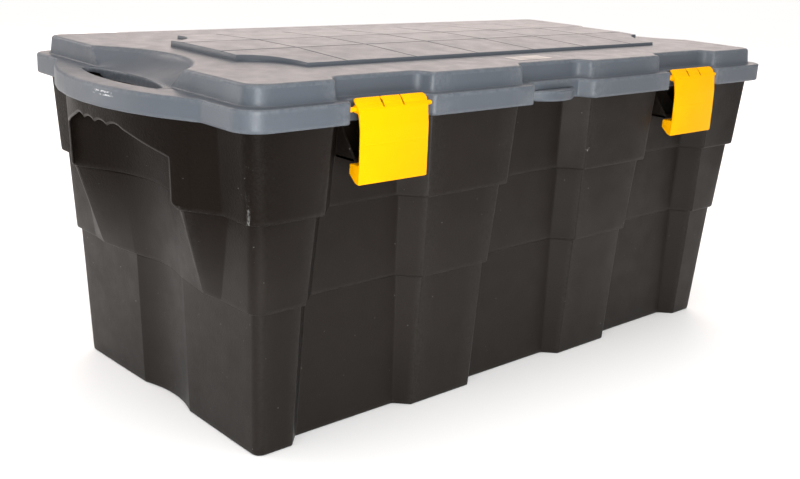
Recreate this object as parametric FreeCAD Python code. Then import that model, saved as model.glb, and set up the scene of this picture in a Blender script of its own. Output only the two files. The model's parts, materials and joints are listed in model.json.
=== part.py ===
import FreeCAD, Part
import math
import os

# Plastic storage trunk in millimetres: X along its length, the front at -Y, Z up.
# The origin lies under the middle of the tub, on the surface that it stands on.

# Lid: flange, skirt and upper step
flange_length = 1000.0
flange_width = 506.0
flange_corner = 31.0
flange_top_z = 420.0
skirt_height = 25.0
lid_wall = 3.0
ledge_width = 14.0
upper_corner = 24.0
upper_rise = 23.0
upper_draft = 2.0
edge_ease = 2.5

# Lid: front recesses, with sloped sides
latch_margin_end = 200.0
latch_recess_half = 63.5
latch_recess_depth = 20.0
centre_recess_half = 62.0
centre_recess_depth = 15.0
recess_side_run = 0.5
recess_edge = 3.0
recess_round = 4.0

# Lid: handle bulge at each end, its hand slot and the scoop above the slot
handle_half_width = 170.0
handle_reach = 49.74
handle_side = 6.0
handle_crease_round = 14.0
slot_point_y = 99.5
slot_bow_share = 0.8
slot_rim = 29.0
slot_wall_gap = 1.0
slot_corner = 7.0
slot_collar_wall = 2.5
slot_collar_depth = 9.0
slot_collar_half = 62.0
slot_collar_edge = 2.3
scoop_foot_half = 85.0
scoop_middle_half = 95.0
scoop_rim_half = 109.0
scoop_foot_depth = 8.0
scoop_middle_depth = 30.0
scoop_rim_depth = 50.0
scoop_middle_rise = 9.0

# Lid: raised tiled panel, level along its middle and lower at its long sides
panel_margin_end = 108.0
panel_margin_side = 109.0
panel_rise = 8.2
panel_side_rise = 4.4
panel_scallop_along = 51.5
panel_scallop_across = 70.5
groove_pitch = 112.4
groove_pairs = 3
groove_row_y = 43.5
groove_width = 2.4
groove_depth = 1.0

# Lid: finger lip in the centre recess
finger_lip_half = 38.0
finger_lip_reach = 11.0
finger_lip_drop = 7.0

# Blank label on the front of the lid's top
label_length = 66.0
label_width = 31.0
label_thickness = 0.3
label_front_gap = 20.0

# Tub: wall, heights of its steps, and rim
tub_wall = 3.0
tub_floor = 3.5
foot_ease = 3.0
low_step_z = 182.0
high_step_z = 290.0
rim_lip = 3.4
rim_rest_gap = 0.3
rim_skirt_gap = 1.5

# Tub: how far each level lies inside the lid's flange, at the ends and at the sides
end_overhang = 15.0
side_overhang = 14.0
top_draft_end = 9.0
top_draft_side = 5.0
high_step_in = 7.5
middle_draft = 6.0
low_step_in = 5.5
low_draft_end = 9.0
low_draft_side = 8.0

# Tub: bays between the pilasters, from the rim to the foot
bay_half_rim = 74.0
bay_half_high = 80.0
bay_half_middle = 86.0
bay_half_low = 92.0
bay_half_pad = 95.0
bay_half_foot = 97.0
bay_depth_top = 28.0
bay_depth_middle = 25.5
bay_depth_pad = 23.5
bay_depth_foot = 18.0
bay_side_run = 1.0
pilaster_round = 5.0
top_corner = 21.0
middle_corner = 17.0
low_corner = 12.0

# Tub: handle legs, hand hole and apron at each end
leg_y = 128.0
leg_inset_rim = 11.0
leg_inset_foot = 16.5
leg_crease_y = 175.0
leg_round = 5.0
leg_lip = 8.5
hand_wall_set_back = 37.0
hand_wall_radius = 180.0
ridge_inset_top = 20.0
ridge_out_low = 4.0
ridge_y_low = 121.0
crease_y_low = 152.0
channel_edge_y = 56.0
channel_edge_in_low = 5.5
channel_edge_in_pad = 2.0
channel_edge_top_y = 62.0
channel_edge_top_out = 2.0
channel_deep = 20.0
channel_radius = 150.0
apron_wall = 3.5
apron_set_back = 1.0
apron_edge_z = 371.0
apron_leg_z = 349.0
finger_wave_pitch = 27.5
finger_waves = 4
finger_wave_rise = 4.0

# Tub: how far inside its walls the planes lie that part floor, front, rear and ends
parting_gap = 0.5

# Rear hinges
hinge_margin_end = 200.0
hinge_out = 6.0
hinge_below_skirt = 9.0
knuckle_radius = 7.0
knuckle_half_length = 20.0
knuckle_arm_rise = 15.0
ear_thickness = 12.0
ear_side_gap = 0.6
ear_drop = 36.0
hinge_pin_radius = 3.0
hinge_pin_fit = 0.05
hinge_pin_overhang = 3.0

# Latches, their trunnions and the keepers under which they hook
latch_half_width = 51.5
latch_sheet = 2.6
latch_pivot_in = 7.0
latch_pivot_below_flange = 9.5
latch_bow = 3.4
latch_foot_out = 3.5
latch_top_in = 9.0
latch_top_rise = 2.0
latch_drop = 95.5
latch_hook_drop = 71.5
latch_hook_height = 20.5
latch_hook_tip_height = 11.0
latch_hook_reach = 14.0
latch_barrel_radius = 4.6
trunnion_radius = 2.8
trunnion_fit = 0.06
trunnion_length = 11.0
slit_offset = 15.0
slit_width = 1.6
slit_length = 6.0
keeper_gap = 1.2
keeper_overlap = 3.5
keeper_plate = 3.4
keeper_half = 46.0
keeper_height = 42.0
keeper_rib = 3.0
keeper_ribs = 4

# Places that follow from the sizes above
half_length = flange_length / 2
half_width = flange_width / 2
latch_centre_x = half_length - latch_margin_end
hinge_centre_x = half_length - hinge_margin_end
skirt_bottom_z = flange_top_z - skirt_height
finger_lip_top_z = flange_top_z - finger_lip_drop
upper_top_z = flange_top_z + upper_rise
panel_half_length = half_length - panel_margin_end
panel_half_width = half_width - panel_margin_side
panel_top_z = upper_top_z + panel_rise
rim_top_z = flange_top_z - lid_wall - rim_rest_gap
rim_z = rim_top_z - rim_lip
upper_end_x = half_length - ledge_width
half_flare = handle_reach / (handle_half_width + handle_side)
flare = 2 * math.atan(half_flare)
nose_chord = handle_half_width * (1 + half_flare ** 2) - handle_side * (1 - half_flare ** 2)
handle_nose_radius = nose_chord / (2 * half_flare)
nose_tip_x = half_length + handle_half_width * math.tan(flare)
nose_centre_x = nose_tip_x - handle_nose_radius / math.cos(flare)
hinge_y = half_width + hinge_out
hinge_z = skirt_bottom_z - hinge_below_skirt
latch_pivot_y = -half_width + latch_pivot_in
latch_pivot_z = flange_top_z - latch_pivot_below_flange
reach_past = 30.0


def vec(x, y, z):
    """A point or direction."""
    return FreeCAD.Vector(x, y, z)


def bulge_reach(y, inset):
    """How far the handle bulge reaches along X at y, a given inset inside the lid's edge."""
    radius = handle_nose_radius - inset
    return nose_centre_x + math.sqrt(radius * radius - y * y)


def turn_at(before, corner, after):
    """Signed turn at a corner of an outline: positive where it is convex."""
    ax = corner[0] - before[0]
    ay = corner[1] - before[1]
    bx = after[0] - corner[0]
    by = after[1] - corner[1]
    return math.atan2(ax * by - ay * bx, ax * bx + ay * by)


def inset_outline(outline, distance):
    """An outline moved inwards: each corner lies where its two moved sides meet."""
    count = len(outline)
    moved = []
    for i in range(count):
        x, y, r = outline[i]
        before = outline[i - 1]
        after = outline[(i + 1) % count]
        ax = x - before[0]
        ay = y - before[1]
        bx = after[0] - x
        by = after[1] - y
        al = math.hypot(ax, ay)
        bl = math.hypot(bx, by)
        nx = -ay / al - by / bl
        ny = ax / al + bx / bl
        scale = 2 * distance / (nx * nx + ny * ny)
        turn = turn_at(before, outline[i], after)
        if turn > 0:
            radius = max(r - distance, 0.5)
        else:
            radius = r + distance
        moved.append((x + nx * scale, y + ny * scale, max(radius, 0.5)))
    return moved


def outline_wire(outline, z):
    """Closed wire at height z: straight sides, and an arc of its own radius at each corner."""
    count = len(outline)
    sides = []
    cuts = []
    for i in range(count):
        x, y, r = outline[i]
        after = outline[(i + 1) % count]
        sides.append(math.hypot(after[0] - x, after[1] - y))
        turn = abs(turn_at(outline[i - 1], outline[i], after))
        cuts.append(r * math.tan(turn / 2))
    room = []
    for i in range(count):
        before = 0.97 * sides[i - 1] / max(cuts[i - 1] + cuts[i], 0.001)
        after = 0.97 * sides[i] / max(cuts[i] + cuts[(i + 1) % count], 0.001)
        room.append(min(1.0, before, after))
    edges = []
    ends = []
    for i in range(count):
        corner = vec(outline[i][0], outline[i][1], z)
        before = vec(outline[i - 1][0], outline[i - 1][1], z)
        after = vec(outline[(i + 1) % count][0], outline[(i + 1) % count][1], z)
        cut = cuts[i] * room[i]
        u = (before - corner).normalize()
        v = (after - corner).normalize()
        start = corner + u * cut
        end = corner + v * cut
        half = math.acos(max(-1.0, min(1.0, u.dot(v)))) / 2
        centre_distance = cut / math.cos(half)
        middle_distance = centre_distance - cut * math.tan(half)
        middle = corner + (u + v).normalize() * middle_distance
        ends.append((start, middle, end))
    for i in range(count):
        start, middle, end = ends[i]
        edges.append(Part.Arc(start, middle, end).toShape())
        following = ends[(i + 1) % count][0]
        edges.append(Part.LineSegment(end, following).toShape())
    return Part.Wire(edges)


def loft(levels):
    """Solid through outlines at rising heights, straight from each one to the next."""
    wires = [outline_wire(outline, z) for outline, z in levels]
    return Part.makeLoft(wires, True, True)


def prism(outline, low, high):
    """Straight solid of one outline between two heights."""
    face = Part.Face(outline_wire(outline, low))
    return face.extrude(vec(0, 0, high - low))


def mirrored_outline(quarter, end_point):
    """Whole outline from its front right quarter, with one point at the middle of each end."""
    front_right = list(quarter)
    rear_right = [(x, -y, r) for x, y, r in reversed(quarter)]
    rear_left = [(-x, -y, r) for x, y, r in quarter]
    front_left = [(-x, y, r) for x, y, r in reversed(quarter)]
    if end_point is None:
        return front_right + rear_right + rear_left + front_left
    right = [(end_point[0], 0.0, end_point[1])]
    left = [(-end_point[0], 0.0, end_point[1])]
    return front_right + right + rear_right + rear_left + left + front_left


def yz_solid(points, x_low, x_high):
    """Solid of a straight-sided outline in the YZ plane, carried along X."""
    corners = [vec(x_low, y, z) for y, z in points]
    face = Part.Face(Part.makePolygon(corners + [corners[0]]))
    return face.extrude(vec(x_high - x_low, 0, 0))


def rod(radius, x_low, x_high, y, z):
    """Round bar along X."""
    return Part.makeCylinder(radius, x_high - x_low, vec(x_low, y, z), vec(1, 0, 0))


def fuse_all(shapes):
    """One shape from several that overlap."""
    return shapes[0].multiFuse(shapes[1:]).removeSplitter()


def both_ends(shape):
    """A shape of the right-hand end and its mirror image at the left-hand end."""
    return [shape, shape.mirror(vec(0, 0, 0), vec(1, 0, 0))]


def box(x_low, x_high, y_low, y_high, z_low, z_high):
    """Box between corners."""
    return Part.makeBox(x_high - x_low, y_high - y_low, z_high - z_low, vec(x_low, y_low, z_low))


def front_recesses(ledge):
    """Front edge of the lid from its middle to the right corner, with rounds for an inset by a ledge."""
    c_run = recess_side_run * centre_recess_depth
    l_run = recess_side_run * latch_recess_depth
    inner = latch_centre_x - latch_recess_half
    outer = latch_centre_x + latch_recess_half
    hollow = recess_round - ledge
    edge = recess_edge + ledge
    return [
        (centre_recess_half - c_run, -half_width + centre_recess_depth, hollow),
        (centre_recess_half, -half_width, edge),
        (inner, -half_width, edge),
        (inner + l_run, -half_width + latch_recess_depth, hollow),
        (outer - l_run, -half_width + latch_recess_depth, hollow),
        (outer, -half_width, edge),
    ]


def lid_outline(with_handles, corner, ledge):
    """Outline of the lid's flange: recessed at the front, straight at the back."""
    front_right = front_recesses(ledge) + [(half_length, -half_width, corner + ledge)]
    rear_right = [(half_length, half_width, corner + ledge)]
    right = []
    if with_handles:
        right = [
            (half_length, -handle_half_width, handle_crease_round),
            (nose_tip_x, 0.0, handle_nose_radius),
            (half_length, handle_half_width, handle_crease_round),
        ]
    outline = front_right + right + rear_right
    return outline + [(-x, y, r) for x, y, r in reversed(outline)]


def slot_outline():
    """Hand slot of the right-hand handle: a lens, bowed towards the lid and along the rim."""
    outer_radius = handle_nose_radius - slot_rim
    point_x = bulge_reach(slot_point_y, slot_rim)
    apex = upper_end_x - scoop_foot_depth + slot_wall_gap
    rise = point_x - apex
    inner_radius = (slot_point_y * slot_point_y + rise * rise) / (2 * rise)
    inner_angle = math.asin(slot_bow_share * slot_point_y / inner_radius)
    outer_angle = math.asin(slot_bow_share * slot_point_y / outer_radius)
    inner = apex + inner_radius * (1 - 1 / math.cos(inner_angle))
    outer = nose_centre_x + outer_radius / math.cos(outer_angle)
    tip_y = (outer - inner) / (math.tan(inner_angle) + math.tan(outer_angle))
    tip_x = inner + tip_y * math.tan(inner_angle)
    return [
        (inner, 0.0, inner_radius),
        (tip_x, -tip_y, slot_corner),
        (outer, 0.0, outer_radius),
        (tip_x, tip_y, slot_corner),
    ]


def scoop(extra):
    """Scoop of the right-hand end: its rim widens and deepens towards the top."""
    past = upper_end_x + reach_past
    wires = []
    for half, depth, z in (
        (scoop_foot_half, scoop_foot_depth, flange_top_z),
        (scoop_middle_half, scoop_middle_depth, flange_top_z + scoop_middle_rise),
        (scoop_rim_half, scoop_rim_depth, upper_top_z + extra + 1.0),
    ):
        low = vec(upper_end_x, -half - extra, z - extra)
        deep = vec(upper_end_x - depth - extra, 0, z - extra)
        high = vec(upper_end_x, half + extra, z - extra)
        far_high = vec(past, half + extra, z - extra)
        far_low = vec(past, -half - extra, z - extra)
        wires.append(Part.Wire([
            Part.Arc(low, deep, high).toShape(),
            Part.LineSegment(high, far_high).toShape(),
            Part.LineSegment(far_high, far_low).toShape(),
            Part.LineSegment(far_low, low).toShape(),
        ]))
    return Part.makeLoft(wires, True, True)


def panel_roof(drop):
    """All that lies under the panel's top: level between the long grooves, falling to the sides."""
    fall = (panel_rise - panel_side_rise) / (panel_half_width - groove_row_y)
    top = panel_top_z - drop
    side = top - fall * (half_width - groove_row_y)
    return yz_solid([
        (-half_width, skirt_bottom_z),
        (half_width, skirt_bottom_z),
        (half_width, side),
        (groove_row_y, top),
        (-groove_row_y, top),
        (-half_width, side),
    ], -half_length, half_length)


def panel(inset, low):
    """Raised panel: a rectangle with corners scalloped inwards and a top that falls to its sides."""
    x = panel_half_length - inset
    y = panel_half_width - inset
    along = panel_scallop_along
    across = panel_scallop_across
    bend = math.sqrt(0.5)
    corners = []
    for sx, sy in ((1, -1), (1, 1), (-1, 1), (-1, -1)):
        side = vec(sx * (x - along), sy * y, low)
        bent = vec(sx * (x - along * bend), sy * (y - across * bend), low)
        end = vec(sx * x, sy * (y - across), low)
        if sx * sy < 0:
            corners.append((side, bent, end))
        else:
            corners.append((end, bent, side))
    edges = []
    for i in range(4):
        start, bent, end = corners[i]
        edges.append(Part.Arc(start, bent, end).toShape())
        edges.append(Part.LineSegment(end, corners[(i + 1) % 4][0]).toShape())
    slab = Part.Face(Part.Wire(edges)).extrude(vec(0, 0, panel_top_z + 1.0 - low))
    return slab.common(panel_roof(inset))


def panel_grooves():
    """Grooves of one depth that part the panel into tiles."""
    high = panel_top_z + groove_depth
    half = groove_width / 2
    strips = []
    for i in range(2 * groove_pairs):
        x = (i - groove_pairs + 0.5) * groove_pitch
        strips.append(box(x - half, x + half, -half_width, half_width, upper_top_z, high))
    for y in (-groove_row_y, groove_row_y):
        strips.append(box(-half_length, half_length, y - half, y + half, upper_top_z, high))
    bed = panel_roof(groove_depth)
    return [strip.cut(bed) for strip in strips]


def finger_lip():
    """Hollow D-shaped lip on the skirt in the centre recess, open below."""
    face_y = -half_width + centre_recess_depth
    solids = []
    for inset, top in ((0.0, finger_lip_top_z), (lid_wall, finger_lip_top_z - lid_wall)):
        half = finger_lip_half - inset
        front = face_y - finger_lip_reach + inset
        left = vec(-half, face_y, skirt_bottom_z)
        right = vec(half, face_y, skirt_bottom_z)
        back_right = vec(half, face_y + lid_wall / 2, skirt_bottom_z)
        back_left = vec(-half, face_y + lid_wall / 2, skirt_bottom_z)
        wire = Part.Wire([
            Part.Arc(left, vec(0, front, skirt_bottom_z), right).toShape(),
            Part.LineSegment(right, back_right).toShape(),
            Part.LineSegment(back_right, back_left).toShape(),
            Part.LineSegment(back_left, left).toShape(),
        ])
        solids.append(Part.Face(wire).extrude(vec(0, 0, top - skirt_bottom_z)))
    front_only = box(-half_length, half_length, -flange_width, face_y, skirt_bottom_z, flange_top_z)
    return solids[0].cut(solids[1].common(front_only))


def lid_knuckles():
    """Rear knuckles, each on an arm that comes down from the skirt."""
    inner = half_width - lid_wall / 2
    arm_top = skirt_bottom_z + knuckle_arm_rise
    profile = [
        (hinge_y - knuckle_radius, hinge_z),
        (inner, skirt_bottom_z),
        (inner, arm_top),
        (half_width, arm_top),
        (hinge_y + knuckle_radius, hinge_z + knuckle_radius),
        (hinge_y + knuckle_radius, hinge_z),
    ]
    knuckles = []
    for x in (-hinge_centre_x, hinge_centre_x):
        low = x - knuckle_half_length
        high = x + knuckle_half_length
        knuckles.append(yz_solid(profile, low, high))
        knuckles.append(rod(knuckle_radius, low, high, hinge_y, hinge_z))
    return knuckles


def hinge_bores(fit):
    """Holes for the hinge pins, larger than a pin by a given fit."""
    reach = knuckle_half_length + ear_side_gap + ear_thickness + 1.0
    radius = hinge_pin_radius + fit
    return [rod(radius, x - reach, x + reach, hinge_y, hinge_z) for x in (-hinge_centre_x, hinge_centre_x)]


def trunnion_bores():
    """Holes in the sloped recess sides that hold the latches' trunnions."""
    radius = trunnion_radius + trunnion_fit
    bores = []
    for x in (-latch_centre_x, latch_centre_x):
        reach = latch_half_width + trunnion_length + 1.0
        bores.append(rod(radius, x - reach, x + reach, latch_pivot_y, latch_pivot_z))
    return bores


def make_lid():
    """Lid: one moulded shell with handles, scoops, panel, finger lip and hinge knuckles."""
    flange = lid_outline(True, flange_corner, 0.0)
    step = inset_outline(lid_outline(False, upper_corner, ledge_width), ledge_width)
    outside = fuse_all([
        loft([
            (flange, skirt_bottom_z),
            (flange, flange_top_z - edge_ease),
            (inset_outline(flange, edge_ease), flange_top_z),
        ]),
        loft([
            (step, flange_top_z - 1.0),
            (inset_outline(step, upper_draft), upper_top_z - edge_ease),
            (inset_outline(step, upper_draft + edge_ease), upper_top_z),
        ]),
        panel(0.0, upper_top_z - 1.0),
    ])
    for cut in both_ends(scoop(0.0)):
        outside = outside.cut(cut)
    hollow_step = inset_outline(step, lid_wall)
    upper_hollow = fuse_all([
        loft([
            (hollow_step, flange_top_z - lid_wall - 1.0),
            (inset_outline(hollow_step, upper_draft), upper_top_z - lid_wall),
        ]),
        panel(lid_wall, upper_top_z - lid_wall - 1.0),
    ])
    for cut in both_ends(scoop(lid_wall)):
        upper_hollow = upper_hollow.cut(cut)
    skirt_hollow = prism(inset_outline(flange, lid_wall), skirt_bottom_z - 1.0, flange_top_z - lid_wall)
    shell = outside.cut(upper_hollow).cut(skirt_hollow)
    slot = slot_outline()
    around = inset_outline(slot, -slot_collar_wall)
    under = flange_top_z - lid_wall
    collar = prism(around, under - slot_collar_edge, under + lid_wall / 2)
    middle = box(0, nose_tip_x, -slot_collar_half, slot_collar_half, skirt_bottom_z, upper_top_z)
    deep_collar = prism(around, under - slot_collar_depth, under + lid_wall / 2).common(middle)
    shell = fuse_all([shell, finger_lip()] + both_ends(collar) + both_ends(deep_collar) + lid_knuckles())
    hole = prism(slot, skirt_bottom_z, flange_top_z + 1.0)
    for cut in both_ends(hole) + panel_grooves() + hinge_bores(hinge_pin_fit) + trunnion_bores():
        shell = shell.cut(cut)
    return shell


def tub_level(a, b, bay_half, depth, corner, end_points, end_middle):
    """Outline of the tub at one level: pilasters and bays at the sides, handle shape at the ends."""
    run = depth * bay_side_run
    inner = latch_centre_x - bay_half
    outer = latch_centre_x + bay_half
    quarter = [
        (bay_half - run, -b + depth, pilaster_round),
        (bay_half, -b, pilaster_round),
        (inner, -b, pilaster_round),
        (inner + run, -b + depth, pilaster_round),
        (outer - run, -b + depth, pilaster_round),
        (outer, -b, pilaster_round),
        (a, -b, corner),
    ]
    return mirrored_outline(quarter + end_points, end_middle)


def tub_levels():
    """Outlines of the tub from its rim down: rim, high step, middle tier, low step, pads and foot."""
    a0 = half_length - end_overhang
    b0 = half_width - side_overhang
    a1 = a0 - top_draft_end
    b1 = b0 - top_draft_side
    a2 = a1 - high_step_in
    b2 = b1 - high_step_in
    a3 = a2 - middle_draft
    b3 = b2 - middle_draft
    a4 = a3 - low_step_in
    b4 = b3 - low_step_in
    a5 = a4 - low_draft_end
    b5 = b4 - low_draft_side
    rim = tub_level(a0, b0, bay_half_rim, bay_depth_top, top_corner, [
        (a0, -leg_crease_y, leg_round),
        (bulge_reach(leg_y, leg_inset_rim), -leg_y, leg_round),
    ], (a0 - hand_wall_set_back, hand_wall_radius))
    high = tub_level(a1, b1, bay_half_high, bay_depth_top, top_corner, [
        (a1, -leg_crease_y, leg_round),
        (bulge_reach(leg_y, leg_inset_foot), -leg_y, leg_round),
    ], (a1 - hand_wall_set_back, hand_wall_radius))
    middle = tub_level(a2, b2, bay_half_middle, bay_depth_middle, middle_corner, [
        (a2, -leg_crease_y, leg_round),
        (bulge_reach(leg_y, ridge_inset_top), -leg_y, leg_round),
        (a2 + channel_edge_top_out, -channel_edge_top_y, leg_round),
    ], (a2 - channel_deep, channel_radius))
    low = tub_level(a3, b3, bay_half_low, bay_depth_middle, middle_corner, [
        (a3, -crease_y_low, leg_round),
        (a3 + ridge_out_low, -ridge_y_low, leg_round),
        (a3 - channel_edge_in_low, -channel_edge_y, leg_round),
    ], (a3 - channel_deep, channel_radius))
    pad = tub_level(a4, b4, bay_half_pad, bay_depth_pad, low_corner, [
        (a4 - channel_edge_in_pad, -channel_edge_y, leg_round),
    ], (a4 - channel_deep, channel_radius))
    foot = tub_level(a5, b5, bay_half_foot, bay_depth_foot, low_corner, [
        (a5 - channel_edge_in_pad, -channel_edge_y, leg_round),
    ], (a5 - channel_deep, channel_radius))
    return rim, high, middle, low, pad, foot


def apron():
    """Curved wall between the handle legs of the right-hand end, with a scalloped lower edge."""
    half = leg_y + apron_set_back
    wires = []
    for leg_inset, z in ((leg_inset_foot, high_step_z), (leg_inset_rim, rim_z)):
        inset = leg_inset + apron_set_back
        back = inset + apron_wall
        points = {}
        for name, depth in (("front", inset), ("back", back)):
            points[name] = [vec(bulge_reach(y, depth), y, z) for y in (-half, 0.0, half)]
        front_low, front_nose, front_high = points["front"]
        back_low, back_nose, back_high = points["back"]
        wires.append(Part.Wire([
            Part.Arc(front_low, front_nose, front_high).toShape(),
            Part.LineSegment(front_high, back_high).toShape(),
            Part.Arc(back_high, back_nose, back_low).toShape(),
            Part.LineSegment(back_low, front_low).toShape(),
        ]))
    wall = Part.makeLoft(wires, True, True)
    x = half_length - reach_past
    below = high_step_z - 1.0
    lip_y = leg_y - leg_lip
    waves_half = finger_waves * finger_wave_pitch / 2
    foot_turn = leg_lip * (1 - math.sqrt(0.5))
    edges = []
    at = vec(x, -leg_y, below)
    turn = vec(x, -leg_y + foot_turn, high_step_z + leg_lip - foot_turn)
    following = vec(x, -lip_y, high_step_z + leg_lip)
    edges.append(Part.LineSegment(at, vec(x, -leg_y, high_step_z)).toShape())
    edges.append(Part.Arc(vec(x, -leg_y, high_step_z), turn, following).toShape())
    at = following
    for y, z in ((-lip_y, apron_leg_z), (-waves_half, apron_edge_z)):
        following = vec(x, y, z)
        edges.append(Part.LineSegment(at, following).toShape())
        at = following
    for i in range(finger_waves):
        y = -waves_half + i * finger_wave_pitch
        crest = vec(x, y + finger_wave_pitch / 2, apron_edge_z + finger_wave_rise)
        following = vec(x, y + finger_wave_pitch, apron_edge_z)
        edges.append(Part.Arc(at, crest, following).toShape())
        at = following
    for y, z in ((lip_y, apron_leg_z), (lip_y, high_step_z + leg_lip)):
        following = vec(x, y, z)
        edges.append(Part.LineSegment(at, following).toShape())
        at = following
    turn = vec(x, leg_y - foot_turn, high_step_z + leg_lip - foot_turn)
    edges.append(Part.Arc(at, turn, vec(x, leg_y, high_step_z)).toShape())
    edges.append(Part.LineSegment(vec(x, leg_y, high_step_z), vec(x, leg_y, below)).toShape())
    edges.append(Part.LineSegment(vec(x, leg_y, below), vec(x, -leg_y, below)).toShape())
    window = Part.Face(Part.Wire(edges)).extrude(vec(4 * reach_past, 0, 0))
    return wall.cut(window)


def hinge_ears():
    """Two rear ears for each hinge, gussets that stand out of the tub's bays."""
    wall_y = half_width - side_overhang - 2 * bay_depth_top
    profile = [
        (wall_y, hinge_z + knuckle_radius),
        (hinge_y, hinge_z + knuckle_radius),
        (hinge_y, hinge_z - knuckle_radius),
        (wall_y, hinge_z - knuckle_radius - ear_drop),
    ]
    ears = []
    start = knuckle_half_length + ear_side_gap
    for x in (-hinge_centre_x, hinge_centre_x):
        for low, high in ((x - start - ear_thickness, x - start), (x + start, x + start + ear_thickness)):
            ears.append(yz_solid(profile, low, high))
            ears.append(rod(knuckle_radius, low, high, hinge_y, hinge_z))
    return ears


def latch_hook_top():
    """Height of the flat top of the latches' hooks."""
    return latch_pivot_z + latch_pivot_below_flange - latch_hook_drop


def latch_hook_tip():
    """Y of the inner tip of the latches' hooks."""
    return -half_width + latch_hook_reach


def keepers():
    """Keeper ledge under each latch recess, on triangular ribs that stand out of the tub's bay."""
    low = latch_hook_top() + keeper_gap
    front = latch_hook_tip() - keeper_overlap
    wall_y = -half_width + side_overhang + 2 * bay_depth_top
    plate = [
        (wall_y, low),
        (front, low),
        (front + keeper_plate, low + keeper_plate),
        (wall_y, low + keeper_plate),
    ]
    bay_y = -half_width + side_overhang + bay_depth_top
    rib = [(wall_y, low), (front, low), (bay_y, low + keeper_height), (wall_y, low + keeper_height)]
    solids = []
    for x in (-latch_centre_x, latch_centre_x):
        solids.append(yz_solid(plate, x - keeper_half, x + keeper_half))
        spacing = (2 * keeper_half - keeper_rib) / (keeper_ribs - 1)
        for i in range(keeper_ribs):
            start = x - keeper_half + i * spacing
            solids.append(yz_solid(rib, start, start + keeper_rib))
    return solids


def make_tub():
    """Tub: one moulded shell with its rim, handles, keepers and hinge ears."""
    rim, high, middle, low, pad, foot = tub_levels()
    sole = inset_outline(foot, foot_ease)
    outside = fuse_all([
        loft([(sole, 0.0), (foot, foot_ease), (pad, low_step_z)]),
        loft([(low, low_step_z), (middle, high_step_z)]),
        loft([(high, high_step_z), (rim, rim_z)]),
    ])
    lip_outline = inset_outline(lid_outline(True, flange_corner, 0.0), lid_wall + rim_skirt_gap)
    lip = prism(lip_outline, rim_z, rim_top_z)
    outside = fuse_all([outside, lip] + both_ends(apron()) + hinge_ears() + keepers())
    inner_rim = inset_outline(rim, tub_wall)
    inner_high = inset_outline(high, tub_wall)
    inner_middle = inset_outline(middle, tub_wall)
    inner_low = inset_outline(low, tub_wall)
    inner_pad = inset_outline(pad, tub_wall)
    inner_foot = inset_outline(foot, tub_wall)
    hollow = fuse_all([
        loft([(inner_foot, tub_floor), (inner_pad, low_step_z + tub_wall)]),
        loft([(inner_low, low_step_z + tub_wall), (inner_middle, high_step_z + tub_wall)]),
        loft([(inner_high, high_step_z + tub_wall), (inner_rim, rim_z), (inner_rim, rim_top_z + 1.0)]),
    ])
    shell = outside.cut(hollow)
    hand_way = prism(inset_outline(slot_outline(), -slot_collar_wall - 2 * rim_skirt_gap), rim_z - 1.0,
                     rim_top_z + 1.0)
    for cut in both_ends(hand_way) + hinge_bores(0.0):
        shell = shell.cut(cut)
    return shell


def tub_nodes(shell):
    """The tub's moulding as simple walls that meet face to face: floor, front, rear and two ends."""
    foot_half_length = half_length - end_overhang - top_draft_end - high_step_in - middle_draft
    foot_half_length -= low_step_in + low_draft_end
    foot_half_width = half_width - side_overhang - top_draft_side - high_step_in - middle_draft
    foot_half_width -= low_step_in + low_draft_side
    x = foot_half_length - channel_deep - tub_wall - parting_gap
    y = foot_half_width - bay_depth_foot - tub_wall - parting_gap
    far = flange_length
    floor = box(-x, x, -y, y, -1.0, tub_floor + parting_gap)
    return {
        "tub_floor": shell.common(floor),
        "tub_front": shell.common(box(-far, far, -far, -y, -1.0, far)),
        "tub_rear": shell.common(box(-far, far, y, far, -1.0, far)),
        "tub_left_end": shell.common(box(-far, 0.0, -y, y, -1.0, far)).cut(floor),
        "tub_right_end": shell.common(box(0.0, far, -y, y, -1.0, far)).cut(floor),
    }


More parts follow.
